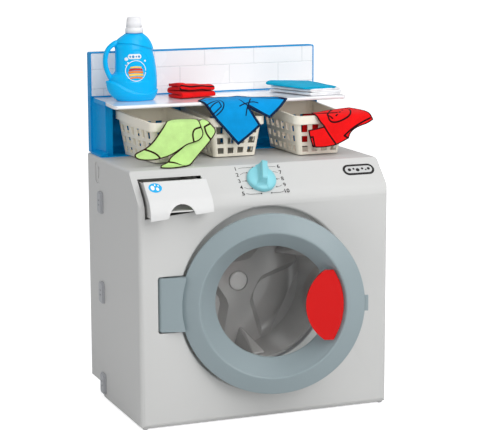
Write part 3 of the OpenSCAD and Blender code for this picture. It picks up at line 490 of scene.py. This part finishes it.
# Baskets: three flared ivory baskets with open lattice walls and a deep rim.
# Each is moulded in one shot and stands loose on the cabinet, under the shelf.
ivory = plastic("basket_ivory", tint(246, 240, 224), 0.4, 0.04, 1100, 0.15)
for basket in ("basket_left", "basket_middle", "basket_right"):
    softened(basket, ivory, 0.0006)

# Bottle: a blue blow-moulded toy detergent bottle with a stepped shoulder and foot and a round grip.
# Its label, in a shallow field on the front, is a white ring round coloured bands, with a plate and bubbles.
bottle_at = Vector((-0.1585, 0.208 - half_depth, 0.5211))
# each row: height, left edge, right edge and half the depth, in mm from the bottle's middle
bottle_body = [(0, -30, 32, 19), (1.5, -32, 34, 21), (12, -37, 39, 23.5), (24, -40, 40, 24.5),
               (36, -44, 40, 24.5), (43, -43, 39.8, 24.5), (48, -33.5, 39.6, 24), (70, -33, 36.4, 23),
               (88, -33, 31.4, 21), (93, -34.5, 29.8, 20), (103, -27, 25.5, 17.5), (109, -20, 20.5, 15),
               (113.5, -14, 16, 12.5), (114.5, -13, 15, 12)]
bottle_shoulder = [(80, -31, 35.5, 23.5), (90, -34, 33.5, 23), (97, -34.5, 31, 21.5), (106, -27, 25.5, 18.5),
                   (113.5, -14.5, 16.5, 13), (114.5, -13, 15, 12)]
bottle_foot = [(0, -30.5, 33, 19.5), (1.5, -32.5, 35, 21.5), (9, -41.5, 39.5, 25), (20, -48, 42.4, 26.5),
               (36, -51, 43.4, 27)]
# the steps' edges, as across and up in mm
shoulder_fold = [(-60, 99), (-33, 98.5), (-9, 97.5), (11, 92), (33, 85), (60, 82)]
foot_wave = [(-60, 36), (-50, 35), (-39, 30), (-24, 20.5), (-8, 14.5), (8, 12), (22, 12.5), (34, 15.5),
             (44, 19), (60, 19)]
step_wide = 1.6
label_middle, label_low, label_high, label_half, label_arch, label_fade = -0.5, 33, 62, 20.5, 25, 31


def along(table, at):
    """The values of a table at a place, on the straight line between its rows."""
    if at <= table[0][0]:
        return table[0][1:]
    for low, high in zip(table[:-1], table[1:]):
        if at <= high[0]:
            t = (at - low[0]) / (high[0] - low[0])
            return tuple(a + (b - a) * t for a, b in zip(low[1:], high[1:]))
    return table[-1][1:]


def step_share(rise):
    """How far a step has come in, 0 to 1, at so many mm past its edge."""
    share = min(max(rise / step_wide + 0.5, 0), 1)
    return share * share * (3 - 2 * share)


def bottle_skin(z, turn):
    """Point of the bottle's wall at a height and an angle, in mm from the bottle's middle."""
    ways = []
    for table in (bottle_body, bottle_shoulder, bottle_foot):
        spread = [along(table, z + d) for d in ((-2, 0, 2) if 1.5 < z < 113 else (0,))]
        left, right, deep = (sum(row[i] for row in spread) / len(spread) for i in range(3))
        ways.append(((left + right) / 2 + (right - left) / 2 * math.cos(turn), deep * math.sin(turn)))
    body, shoulder, foot = ways
    if z > 80:
        other, share = shoulder, step_share(z - along(shoulder_fold, body[0])[0])
    else:
        other, share = foot, step_share(along(foot_wave, foot[0])[0] - z)
    x, y = (b + (o - b) * share for b, o in zip(body, other))
    off = x - label_middle
    arch = max(abs(off) / label_half, math.hypot(off / label_half, max(0, z - label_high) / label_arch),
               (label_low + label_fade - z) / label_fade)
    sunk = min(max((1.03 - arch) / 0.08, 0), 1)
    return x, y + 0.7 * sunk if y < 0 else y


bottle_form = bmesh.new()
bottle_steps = 160
bottle_heights = [0, 0.4, 1.2] + [2 + 0.9 * k for k in range(125)] + [114.5]
bottle_turns = [2 * math.pi * k / bottle_steps for k in range(bottle_steps)]
skin_rings(bottle_form, [[bottle_form.verts.new(Vector((*bottle_skin(z, turn), z)) / 1000)
                          for turn in bottle_turns] for z in bottle_heights])
grip_path = [(-27, 98), (-34, 97), (-41, 93), (-46.6, 86.5), (-49.8, 78.5), (-51, 69), (-50.4, 60),
             (-48, 51.5), (-44.5, 44), (-40, 38), (-34, 33)]
grip_fine = []
for k in range(len(grip_path) - 1):
    p0, p1, p2, p3 = (Vector(grip_path[min(max(k + j, 0), len(grip_path) - 1)]) for j in (-1, 0, 1, 2))
    for t in (0, 0.25, 0.5, 0.75):
        square, cube = t * t * (2 * p0 - 5 * p1 + 4 * p2 - p3), t ** 3 * (3 * p1 - p0 - 3 * p2 + p3)
        grip_fine.append(0.5 * (2 * p1 + (p2 - p0) * t + square + cube))
grip_fine.append(Vector(grip_path[-1]))
grip_turns = [2 * math.pi * k / 24 for k in range(24)]
grip_half, grip_deep, top_flare, foot_flare = 4.1, 5.4, 2.2, 2.6
grip_rings = []
for k, p in enumerate(grip_fine):
    run = (grip_fine[min(k + 1, len(grip_fine) - 1)] - grip_fine[max(k - 1, 0)]).normalized()
    left_over = len(grip_fine) - 1 - k
    thick = grip_half + top_flare * max(0, 1 - k / 7) + foot_flare * max(0, 1 - left_over / 9)
    ring = [(thick * math.cos(a), grip_deep * math.sin(a)) for a in grip_turns]
    grip_rings.append([bottle_form.verts.new(Vector((p.x - run.y * off, deep, p.y + run.x * off)) / 1000)
                       for off, deep in ring])
skin_rings(bottle_form, grip_rings)
bmesh.ops.recalc_face_normals(bottle_form, faces=bottle_form.faces)
for face in bottle_form.faces:
    face.smooth = True
for line in bottle_form.edges:
    line.smooth = line.calc_face_angle(0) < math.radians(50)
bottle_mesh = finished_mesh(bottle_form, "bottle_blown")
bottle_mesh.transform(Matrix.Translation(bottle_at))
bottle_blue = plastic("bottle_blue", tint(0, 182, 244), 0.24, 0.03, 400, 0.03, 0.08, 0, 0.16)
place_piece("bottle_blown", bottle_mesh, "bottle", "bottle", bottle_blue, "bottle")


def bottle_front(x, z, out):
    """Point on the bottle's front wall, found by turning towards it."""
    turn = -math.pi / 2
    for _ in range(24):
        at = bottle_skin(z, turn)[0]
        turn += (x - at) / 45
    return bottle_at + Vector((x / 1000, bottle_skin(z, turn)[1] / 1000 - 0.0001 - out, z / 1000))


def walk_round(loop, step):
    """Points round a closed outline, about one step apart."""
    edge = []
    for a, b in zip(loop, loop[1:] + loop[:1]):
        n = max(1, round((b - a).length / step))
        edge += [a + (b - a) * j / n for j in range(n)]
    return edge


def fill_outline(edge, inner):
    """A flat mesh of small triangles: its points and its faces."""
    rim = [(k, (k + 1) % len(edge)) for k in range(len(edge))]
    verts, _, faces, _, _, _ = delaunay_2d_cdt(edge + inner, rim, [], 1, 0.0001)
    return verts, faces


def label_shape(loop, step=1.6):
    """Cuts a flat outline into a small mesh, so that it can follow the bottle's round wall."""
    xs, zs = [p[0] for p in loop], [p[1] for p in loop]
    across, up = (range(1, int((max(side) - min(side)) / step) + 1) for side in (xs, zs))
    inner = [Vector((min(xs) + step * i, min(zs) + step * j)) for i in across for j in up]
    return fill_outline(walk_round([Vector(p) for p in loop], step), inner)


def thickened(piece, name, thick, offset):
    """Gives a flat piece its body."""
    depth = piece.modifiers.new(name, "SOLIDIFY")
    depth.thickness = thick
    depth.offset = offset
    piece.data = baked(piece)


def label_print(name, loops, finish, slot, height):
    form = bmesh.new()
    for loop in loops:
        verts, faces = label_shape(loop)
        used = {}
        for face in faces:
            for k in face:
                if k not in used:
                    used[k] = form.verts.new(bottle_front(verts[k][0], verts[k][1], height))
            form.faces.new([used[k] for k in face])
    for face in form.faces:
        face.normal_update()
        if face.normal.y > 0:
            face.normal_flip()
        face.smooth = True
    thickened(place_piece(name, finished_mesh(form, name), "bottle", slot, finish), "film", 0.0001, -1)


def band(z, left, right, high, sag=1.2, steps=10):
    shares = [k / steps for k in range(steps + 1)]
    top = [(left + (right - left) * t, z + high - sag * (2 * t - 1) ** 2) for t in shares]
    return top + [(x, y - high) for x, y in reversed(top)]


def label_ink(name, colour, drift=0.08):
    return plastic(name, colour, 0.4, drift, 700, 0.05)


ring_line = disc(-4, 52, 17.2, 44)
plate_x, plate_z = -5.5, 76
plate_dots = [(-7.5, 1.6), (-2.6, 2.2), (2.8, 1.4), (7.4, 2)]
label_print("label_rim", [stroke(ring_line[k:k + 12], 1.1) for k in (0, 11, 22, 32)],
            label_ink("label_white", tint(244, 247, 250), 0.05), "cap", 0.00025)
label_print("label_bands_orange", [band(48.5, -17, 8.5, 3.6), band(39.5, -15, 7, 3)],
            label_ink("label_orange", tint(244, 132, 26)), "cells", 0.00025)
label_print("label_bands_yellow", [band(44, -16.5, 8.5, 3.6), band(57.2, -13.5, 5.5, 2.6)],
            label_ink("label_yellow", tint(252, 206, 70)), "basket", 0.00025)
label_print("label_band_red", [band(53, -15.5, 7.5, 3.4)],
            label_ink("label_red", tint(206, 36, 24)), "red_felt", 0.00025)
label_print("label_plate", [stadium(plate_x, plate_z, 23, 8.4)],
            label_ink("label_plate_white", tint(236, 242, 246), 0.05), "cap", 0.0001)
label_print("label_bubbles",
            [disc(-19.5, 72, 3, 20), disc(-17, 65.5, 1.5, 16), disc(12.5, 68.5, 1.8, 16),
             disc(-20.5, 61.5, 1.1, 14)],
            plastic("label_bubble", tint(232, 243, 250), 0.35, 0.05, 700, 0.05), "cap", 0.00015)
label_print("label_plate_dots", [disc(plate_x + x, plate_z, r, 16) for x, r in plate_dots],
            label_ink("label_dots_blue", tint(40, 140, 205)), "bottle", 0.00025)

# Cap: a white moulded screw cap over the bottle's neck, with a plain collar and a tapered top.
# A ring of thin grip ribs stands round the top.
cap_at = bottle_at + Vector((0.001, 0, 0.1148))
cap_profile = [(15.2, 0), (15.2, 6.6), (14.6, 7.5), (13.7, 7.6), (13.4, 8.4), (11.6, 24.6), (11.1, 26),
               (9.9, 26.5)]
cap_turns = [2 * math.pi * k / 72 for k in range(72)]
cap_form = bmesh.new()
skin_rings(cap_form, [[cap_form.verts.new(cap_at + Vector((r * math.cos(a), r * math.sin(a), z)) / 1000)
                       for a in cap_turns] for r, z in cap_profile])
for face in cap_form.faces:
    face.smooth = len(face.verts) == 4
for line in cap_form.edges:
    line.smooth = line.calc_face_angle(0) < math.radians(28)
cap_white = plastic("cap_white", tint(243, 243, 245), 0.35, 0.03, 900, 0.08)
place_piece("cap_body", finished_mesh(cap_form, "cap_body"), "bottle", "cap", cap_white, "bottle_cap")

rib_tree = bpy.data.node_groups.new("ring_of_ribs", "GeometryNodeTree")
rib_values = {"Count": 44, "Foot Radius": 0.0124, "Top Radius": 0.0105, "Height": 0.0152, "Width": 0.0006}
rib_sockets = {}
for label in rib_values:
    kind = "NodeSocketInt" if label == "Count" else "NodeSocketFloat"
    rib_sockets[label] = rib_tree.interface.new_socket(label, in_out="INPUT", socket_type=kind).identifier
rib_tree.interface.new_socket("Geometry", in_out="OUTPUT", socket_type="NodeSocketGeometry")
rib_in, rib_out = rib_tree.nodes.new("NodeGroupInput"), rib_tree.nodes.new("NodeGroupOutput")
rib_circle = add_node(rib_tree, "GeometryNodeMeshCircle")
rib_solid = add_node(rib_tree, "GeometryNodeMeshCylinder", {"Vertices": 8})
rib_spread = add_node(rib_tree, "GeometryNodeInstanceOnPoints")
rib_place = add_node(rib_tree, "GeometryNodeInputPosition")
rib_turn = add_node(rib_tree, "FunctionNodeAlignRotationToVector")
rib_turn.axis = "X"
rib_lean = add_node(rib_tree, "GeometryNodeRotateInstances")
rib_slope = add_node(rib_tree, "ShaderNodeMath", None, "SUBTRACT")
rib_angle = add_node(rib_tree, "ShaderNodeMath", None, "ARCTAN2")
rib_minus = add_node(rib_tree, "ShaderNodeMath", {1: -1}, "MULTIPLY")
rib_vector = add_node(rib_tree, "ShaderNodeCombineXYZ")
rib_real = add_node(rib_tree, "GeometryNodeRealizeInstances")
rib_shade = add_node(rib_tree, "GeometryNodeSetShadeSmooth")
rib_paint = add_node(rib_tree, "GeometryNodeSetMaterial", {"Material": cap_white})
wire(rib_tree,
     (rib_in.outputs["Count"], rib_circle.inputs["Vertices"]),
     (rib_in.outputs["Foot Radius"], rib_circle.inputs["Radius"]),
     (rib_in.outputs["Height"], rib_solid.inputs["Depth"]),
     (rib_in.outputs["Width"], rib_solid.inputs["Radius"]),
     (rib_circle.outputs[0], rib_spread.inputs["Points"]),
     (rib_solid.outputs["Mesh"], rib_spread.inputs["Instance"]),
     (rib_place.outputs[0], rib_turn.inputs["Vector"]),
     (rib_turn.outputs[0], rib_spread.inputs["Rotation"]),
     (rib_in.outputs["Foot Radius"], rib_slope.inputs[0]),
     (rib_in.outputs["Top Radius"], rib_slope.inputs[1]),
     (rib_slope.outputs[0], rib_angle.inputs[0]),
     (rib_in.outputs["Height"], rib_angle.inputs[1]),
     (rib_angle.outputs[0], rib_minus.inputs[0]),
     (rib_minus.outputs[0], rib_vector.inputs["Y"]),
     (rib_spread.outputs[0], rib_lean.inputs["Instances"]),
     (rib_vector.outputs[0], rib_lean.inputs["Rotation"]),
     (rib_lean.outputs[0], rib_real.inputs[0]),
     (rib_real.outputs[0], rib_shade.inputs[0]),
     (rib_shade.outputs[0], rib_paint.inputs["Geometry"]),
     (rib_paint.outputs[0], rib_out.inputs["Geometry"]))
rib_piece = bpy.data.objects.new("cap_ribs", bpy.data.meshes.new("cap_ribs"))
studio_scene.collection.objects.link(rib_piece)
rib_maker = rib_piece.modifiers.new("ribs", "NODES")
rib_maker.node_group = rib_tree
for label, value in rib_values.items():
    rib_maker[rib_sockets[label]] = value
rib_piece.data = baked(rib_piece)
rib_piece.data.transform(Matrix.Translation(cap_at + Vector((0, 0, 0.0168))))
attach(rib_piece, "bottle")

# Socks: two flat play socks die-cut from light green felt, with thick dark lines printed on them.
# They hang over the left basket's rim, one upon the other, and the lower one's toe lies on the cabinet.
felt_nap, nap_in, nap_out = shader_group(
    "felt_nap",
    [("Colour", "NodeSocketColor", (0.5, 0.5, 0.5, 1)), ("Ink", "NodeSocketColor", (0.03, 0.015, 0.012, 1)),
     ("Distance", "NodeSocketFloat", 9.0), ("Half Width", "NodeSocketFloat", 1.0)],
    [("Colour", "NodeSocketColor"), ("Height", "NodeSocketFloat")])
nap_place = add_node(felt_nap, "ShaderNodeTexCoord")
nap_fibres = add_node(felt_nap, "ShaderNodeTexNoise", {"Scale": 1100, "Detail": 3, "Distortion": 1.5})
nap_cloud = add_node(felt_nap, "ShaderNodeTexNoise", {"Scale": 60})
nap_sum = add_node(felt_nap, "ShaderNodeMath", None, "ADD")
nap_light = add_node(felt_nap, "ShaderNodeMapRange",
                     {"From Min": 0.6, "From Max": 1.4, "To Min": 0.86, "To Max": 1.12})
nap_shade = add_node(felt_nap, "ShaderNodeHueSaturation")
nap_edge = add_node(felt_nap, "ShaderNodeMath", None, "SUBTRACT")
nap_line = add_node(felt_nap, "ShaderNodeMapRange",
                    {"From Min": -0.2, "From Max": 0.2, "To Min": 1, "To Max": 0})
nap_mix = felt_nap.nodes.new("ShaderNodeMix")
nap_mix.data_type = "RGBA"
wire(felt_nap,
     (nap_place.outputs["Object"], nap_fibres.inputs["Vector"]),
     (nap_place.outputs["Object"], nap_cloud.inputs["Vector"]),
     (nap_fibres.outputs["Fac"], nap_sum.inputs[0]),
     (nap_cloud.outputs["Fac"], nap_sum.inputs[1]),
     (nap_sum.outputs[0], nap_light.inputs["Value"]),
     (nap_light.outputs[0], nap_shade.inputs["Value"]),
     (nap_in.outputs["Colour"], nap_shade.inputs["Color"]),
     (nap_in.outputs["Distance"], nap_edge.inputs[0]),
     (nap_in.outputs["Half Width"], nap_edge.inputs[1]),
     (nap_edge.outputs[0], nap_line.inputs["Value"]),
     (nap_line.outputs[0], nap_mix.inputs["Factor"]),
     (nap_shade.outputs[0], nap_mix.inputs["A"]),
     (nap_in.outputs["Ink"], nap_mix.inputs["B"]),
     (nap_mix.outputs["Result"], nap_out.inputs["Colour"]),
     (nap_fibres.outputs["Fac"], nap_out.inputs["Height"]))


def felt(name, colour, ink=(48, 26, 20), half_width=1.0):
    finish = bpy.data.materials.new(name)
    finish.use_nodes = True
    tree = finish.node_tree
    surface = set_sockets(tree.nodes["Principled BSDF"], {
        "Roughness": 0.95, "Specular IOR Level": 0.05, "Sheen Weight": 0.06, "Sheen Roughness": 0.6})
    nap = tree.nodes.new("ShaderNodeGroup")
    nap.node_tree = felt_nap
    set_sockets(nap, {"Colour": colour, "Ink": tint(*ink), "Half Width": half_width})
    line = tree.nodes.new("ShaderNodeAttribute")
    line.attribute_name = "line_mm"
    relief = add_node(tree, "ShaderNodeBump", {"Strength": 0.5, "Distance": 0.0004})
    wire(tree, (line.outputs["Fac"], nap.inputs["Distance"]),
         (nap.outputs["Colour"], surface.inputs["Base Color"]),
         (nap.outputs["Height"], relief.inputs["Height"]),
         (relief.outputs[0], surface.inputs["Normal"]))
    return finish


def eased(points, closed=False, rounds=2, corner=55):
    """Rounds a drawn line off, but keeps its sharp corners."""
    points = [Vector(p) for p in points]
    for _ in range(rounds):
        done = []
        count = len(points)
        for k, p in enumerate(points):
            if not closed and k in (0, count - 1):
                done.append(p)
                continue
            before, after = points[k - 1], points[(k + 1) % count]
            if (p - before).angle(after - p, 0) > math.radians(corner):
                done.append(p)
            else:
                done += [p + (before - p) * 0.25, p + (after - p) * 0.25]
        points = done
    return points


def gap_to_line(p, a, b):
    run = b - a
    t = max(0, min(1, (p - a).dot(run) / max(run.length_squared, 1e-9)))
    return (p - a - run * t).length


def gap_to_rim(p, loop):
    return min(gap_to_line(p, a, b) for a, b in zip(loop, loop[1:] + loop[:1]))


def inside(p, loop):
    hit = False
    for a, b in zip(loop, loop[1:] + loop[:1]):
        if (a.y > p.y) != (b.y > p.y) and p.x < (b.x - a.x) * (p.y - a.y) / (b.y - a.y) + a.x:
            hit = not hit
    return hit


def cut_cloth(name, outline, fall, lines, body, slot, finish, thick=0.0018, curl=1.6, wave=0.5,
              replaced=(), corner=55, hem=0.0, seed=0):
    """Felt cut to the outline of (across, down the fall) mm and laid along the fall of (back, up) mm."""
    step = 1.3
    curl_reach = 9
    blank = 9  # so far from any printed line the felt is bare
    loop = eased(outline, True, 2, corner)
    edge = walk_round(loop, step)
    xs, ys = [p.x for p in edge], [p.y for p in edge]
    inner = []
    for i in range(int((max(xs) - min(xs)) / step)):
        for j in range(int((max(ys) - min(ys)) / step)):
            p = Vector((min(xs) + step * (i + 0.5 + 0.5 * (j % 2)), min(ys) + step * (j + 0.5)))
            if inside(p, loop) and gap_to_rim(p, loop) > step * 0.45:
                inner.append(p)
    verts, faces = fill_outline(edge, inner)
    path = eased(fall, False, 3, 180)
    reach = [0]
    for a, b in zip(path[:-1], path[1:]):
        reach.append(reach[-1] + (b - a).length)

    def lay(p):
        """Where a point of the flat cloth comes to lie, and which way the cloth faces there."""
        k = next((i for i in range(len(path) - 1) if p.y <= reach[i + 1]), len(path) - 2)
        run = (path[k + 1] - path[k]).normalized()
        normal = Vector((run.y, -run.x))
        if (normal.x > 0) if abs(run.y) > 0.2 else (normal.y < 0):
            normal = -normal
        lift = 0.4 + 0.6 * noise.noise(Vector((p.x / 30, p.y / 30, seed)))
        swell = wave * noise.noise(Vector((p.x / 22, p.y / 28, 7 + seed)))
        out = curl * max(0, 1 - gap_to_rim(p, loop) / curl_reach) ** 2 * lift + swell
        at = path[k] + run * (p.y - reach[k]) + normal * max(out, -0.4)
        return Vector((p.x / 1000, at.x / 1000 - half_depth, at.y / 1000)), Vector((0, normal.x, normal.y))

    form = bmesh.new()
    ink = form.verts.layers.float.new("line_mm")
    weave = form.loops.layers.uv.new("cloth_uv")
    prints = [eased(line) for line in lines]
    made = []
    for v in verts:
        new = form.verts.new(lay(v)[0])
        rim = gap_to_rim(v, loop)
        near = [gap_to_line(v, a, b) for line in prints for a, b in zip(line[:-1], line[1:])]
        new[ink] = min(near + [rim * 0.8, abs(rim - hem) if hem else blank, blank])
        made.append(new)
    for face in faces:
        new = form.faces.new([made[k] for k in face])
        new.smooth = True
        for face_loop, k in zip(new.loops, face):
            face_loop[weave].uv = verts[k] / 100
    form.normal_update()
    form.faces.ensure_lookup_table()
    middle = len(faces) // 2
    outward = lay(sum((verts[k] for k in faces[middle]), Vector((0, 0))) / 3)[1]
    if form.faces[middle].normal.dot(outward) < 0:
        bmesh.ops.reverse_faces(form, faces=form.faces)
    piece = place_piece(name, finished_mesh(form, name), body, slot, finish, *replaced)
    thickened(piece, "felt_body", thick, -1)


rim_top = 493.8  # where cloth lies on the baskets' rims, in mm
green_felt = felt("green_felt", tint(194, 232, 146), half_width=1.5)
cut_cloth(
    "sock_lower_felt",
    [(-75.3, 6.8), (-67.2, 26), (-55.7, 38.6), (-67.6, 55), (-88.8, 75.9), (-117.4, 104), (-137.7, 112),
     (-154.1, 112), (-163.8, 105), (-162.5, 96.5), (-157, 90.4), (-145.5, 86.4), (-141, 78.1), (-118.6, 64.1),
     (-101.4, 46.4), (-91.2, 26)],
    [(109, rim_top + 2.7), (88, rim_top + 2.5), (83, rim_top - 5), (77, 442), (74, 431), (69, 426.6),
     (54, 426.2)],
    [[(-145.5, 86.4), (-129.9, 89.2), (-120.6, 103)],
     [(-67.3, 26.9), (-77.8, 31.5), (-75.9, 42.7), (-67.5, 54.1)]],
    "left_basket", "green_felt", green_felt,
    replaced=("sock_lower",), thick=0.0015, curl=0.5, wave=0.3, seed=3, corner=110)
cut_cloth(
    "sock_upper_felt",
    [(-133.7, 8.8), (-157.2, 40.3), (-174, 59.6), (-186.7, 67.3), (-201, 72.9), (-203.4, 76.5),
     (-201.4, 81.3), (-192.7, 85.1), (-173.4, 86.5), (-159.1, 84.8), (-139.3, 80), (-124.7, 71.6), (-110, 63),
     (-99.2, 61.1), (-88.2, 57.4), (-82.5, 50.9), (-81.3, 44.2), (-85.1, 33.8), (-90, 12.5)],
    [(109, rim_top + 4.4), (86, rim_top + 4.4), (79.4, rim_top - 4), (75, 440)],
    [[(-186.7, 67.3), (-174.5, 71.3), (-164.1, 77), (-158.2, 84.9)],
     [(-87.1, 36.3), (-97.2, 38.3), (-101.2, 46.6), (-99.1, 60.2)]],
    "left_basket", "green_felt", green_felt, replaced=("sock_upper",),
    seed=1, corner=110)

# Shorts: flat play shorts die-cut from blue felt, with printed seams, a pocket and a double line at the edge.
# They hang from the shelf's front edge down over the middle basket.
shelf_top = 521.0
cut_cloth(
    "shorts_felt",
    [(-68.2, 19.4), (-46.2, -9), (-28.9, -8), (-4, -9), (15.3, -14), (31.7, 9), (76.9, 21.4), (91.7, 30.3),
     (77.2, 46.3), (53.1, 65.2), (34.6, 54.7), (17.5, 43.5), (24.1, 56.6), (36.4, 76.3), (16, 92),
     (-6.2, 107.6), (-28.5, 82.6), (-52.2, 55.3)],
    [(160, shelf_top + 2.6), (127, shelf_top + 2.6), (115, rim_top + 2), (111.6, 440)],
    [[(-60.3, 38.2), (-47.3, 30), (-32.2, 23.4), (-27.1, 30.5), (-26.7, 37.9), (-32.4, 47.9), (-43.4, 55.8)],
     [(-34.2, 28.9), (-43.4, 33.9), (-52.2, 41.3), (-55.2, 48), (-52.2, 55.3)],
     [(-52.2, 55.3), (-42.6, 48.6), (-32.4, 40.3), (-34.2, 28.9)],
     [(25.9, 24), (18.5, 36.1), (12.3, 47.6), (9.9, 58.3)], [(4.4, 24.7), (9.7, 35.5), (17.5, 43.5)],
     [(0.6, 41.3), (10.5, 37.1), (25.8, 33.3), (35, 36.9)],
     [(-64.9, 24.5), (-39.8, 12), (1.5, 10), (25.9, 18), (84.3, 31)]],
    "middle_basket", "blue_felt", felt("blue_felt", tint(6, 150, 218), (14, 28, 60), 1.1),
    replaced=("shorts",), thick=0.0016, seed=5, corner=40, hem=2.9)

# Shirt: a flat play shirt die-cut from red felt, with printed seams and a plain oval print.
# It hangs over the right basket's rim, and more of its cloth shows inside the basket.
red_felt = felt("red_felt", tint(238, 20, 22), (44, 8, 12), 1.5)
cut_cloth(
    "shirt_felt",
    [(123.4, 32.7), (128.1, 54.7), (138.8, 66.6), (123.4, 69.3), (109.1, 71.2), (112.6, 87.1), (117.2, 101),
     (128.6, 102), (140, 102), (150.6, 101), (161.1, 99), (172.7, 94.5), (184.4, 89), (188.3, 78.7),
     (200.1, 70.5), (220.6, 65.4), (231.7, 58.9), (207.3, 3)],
    [(132, rim_top + 6.3), (86, rim_top + 3.6), (80, rim_top - 10), (78.2, 440)],
    [[(155.3, 53.2), (148, 45), (161.9, 24.6), (178.7, 8), (193.9, 4), (202.4, 15.1), (195.5, 38.2),
      (187.8, 50.3), (176.6, 55.9), (164.1, 60.1), (152.8, 59.9), (148, 54), (148, 45)],
     [(163, 48.6), (167, 44.8)], [(173.4, 38), (177, 34)], [(184, 26), (186.5, 23)],
     [(138.8, 66.6), (148, 81), (161.1, 99)], [(112, 84), (117.5, 83), (121, 101)],
     [(184.4, 89), (176, 84), (190, 73), (206, 64), (226, 56)]],
    "right_basket", "red_felt", red_felt, replaced=("shirt",), seed=9, corner=40,
    thick=0.0016, curl=1.2)
cut_cloth(
    "shirt_inside_felt",
    [(106, 1), (170, 1), (169, 40), (166, 68), (110, 68), (108, 35)],
    [(92, rim_top + 3.6), (102, rim_top + 3.4), (107, rim_top - 20), (114, 434)],
    [], "right_basket", "red_felt", red_felt, seed=11, thick=0.0014, curl=0.3, wave=0.4,
    corner=40)

# Folded red shirt: red felt folded to and fro into a soft stack on the shelf, with two printed dark lines
# along its upper folds.


def folded_cloth(name, plan, base, profile, body, slot, finish, replaced, thick, seed, slump,
                 taper=0.0, bands=()):
    """Felt folded to and fro: plan holds its corners in mm, profile its end view as (share along, mm up)."""
    across_steps = 40
    path = eased([(along_plan, base + up) for along_plan, up in profile], False, 3, 180)
    plan = [Vector(corner) for corner in plan]
    form = bmesh.new()
    ink = form.verts.layers.float.new("line_mm")
    rows = []
    foot, top = min(p.y for p in path), max(p.y for p in path)
    for p in path:
        row = []
        for j in range(across_steps + 1):
            t = j / across_steps
            at = plan[0].lerp(plan[1], t).lerp(plan[3].lerp(plan[2], t), p.x)
            ripple = noise.noise(Vector((at.x / 24, at.y / 24, seed)))
            rise = (p.y - foot) * (1 + taper * (0.5 - t))
            up = foot + rise + slump * ripple * rise / (top - foot)
            side = 1.6 * noise.noise(Vector((t * 6, p.x * 5, p.y / 5 + seed)))
            v = form.verts.new(((at.x + side) / 1000, (at.y + side * 0.6) / 1000 - half_depth, up / 1000))
            v[ink] = min([9] + [2.4 * abs(p.y - base - line) + 60 * max(0, p.x - 0.12) for line in bands])
            row.append(v)
        rows.append(row)
    for low, high in zip(rows[:-1], rows[1:]):
        for j in range(across_steps):
            form.faces.new((low[j], low[j + 1], high[j + 1], high[j])).smooth = True
    mesh = finished_mesh(form, name)
    piece = place_piece(name, mesh, body, slot, finish, replaced)
    thickened(piece, "felt_body", thick, 0)


stack_base = shelf_top + 1.7
folded_cloth(
    "red_stack_felt", [(-81, 186), (-14, 204), (-26, 248), (-93, 230)], stack_base,
    [(0.9, 1.3), (0.07, 1.3), (-0.05, 4.2), (0.07, 7.2), (0.84, 7), (0.93, 9.8), (0.84, 12.6), (0.13, 13),
     (0.02, 16), (0.14, 19), (0.86, 17.4)],
    "red_stack", "red_felt", red_felt, "red_cloth", 0.005, 2, 3.6, 0.35, (14.4, 17))

# Folded white cloth and turquoise cloth: thin felt, folded flat without a printed line.
# One lies on the other at the shelf's right end.
folded_cloth(
    "white_stack_felt", [(103, 238), (141, 143), (203, 151), (186, 238)], stack_base,
    [(0.97, 0), (0.05, 0), (0.0, 1.5), (0.05, 3), (0.95, 3), (1.0, 4.5), (0.95, 6), (0.07, 6), (0.02, 7.5),
     (0.08, 9), (0.96, 9)],
    "flat_stack", "white_felt", felt("white_felt", tint(248, 248, 250), (190, 192, 198), 0.3),
    "white_cloth", 0.0028, 4, 0.9)
folded_cloth(
    "teal_stack_felt", [(94, 234), (130, 147), (195, 149), (178, 232)], stack_base + 10.4,
    [(0.93, 0.6), (0.08, 0.6), (-0.02, 3), (0.09, 5.6), (0.5, 4.8), (0.97, 3.4)],
    "flat_stack", "teal_felt", felt("teal_felt", tint(0, 172, 212), (0, 100, 130), 0.3),
    "teal_cloth", 0.0018, 6, 0.8, 1.1)
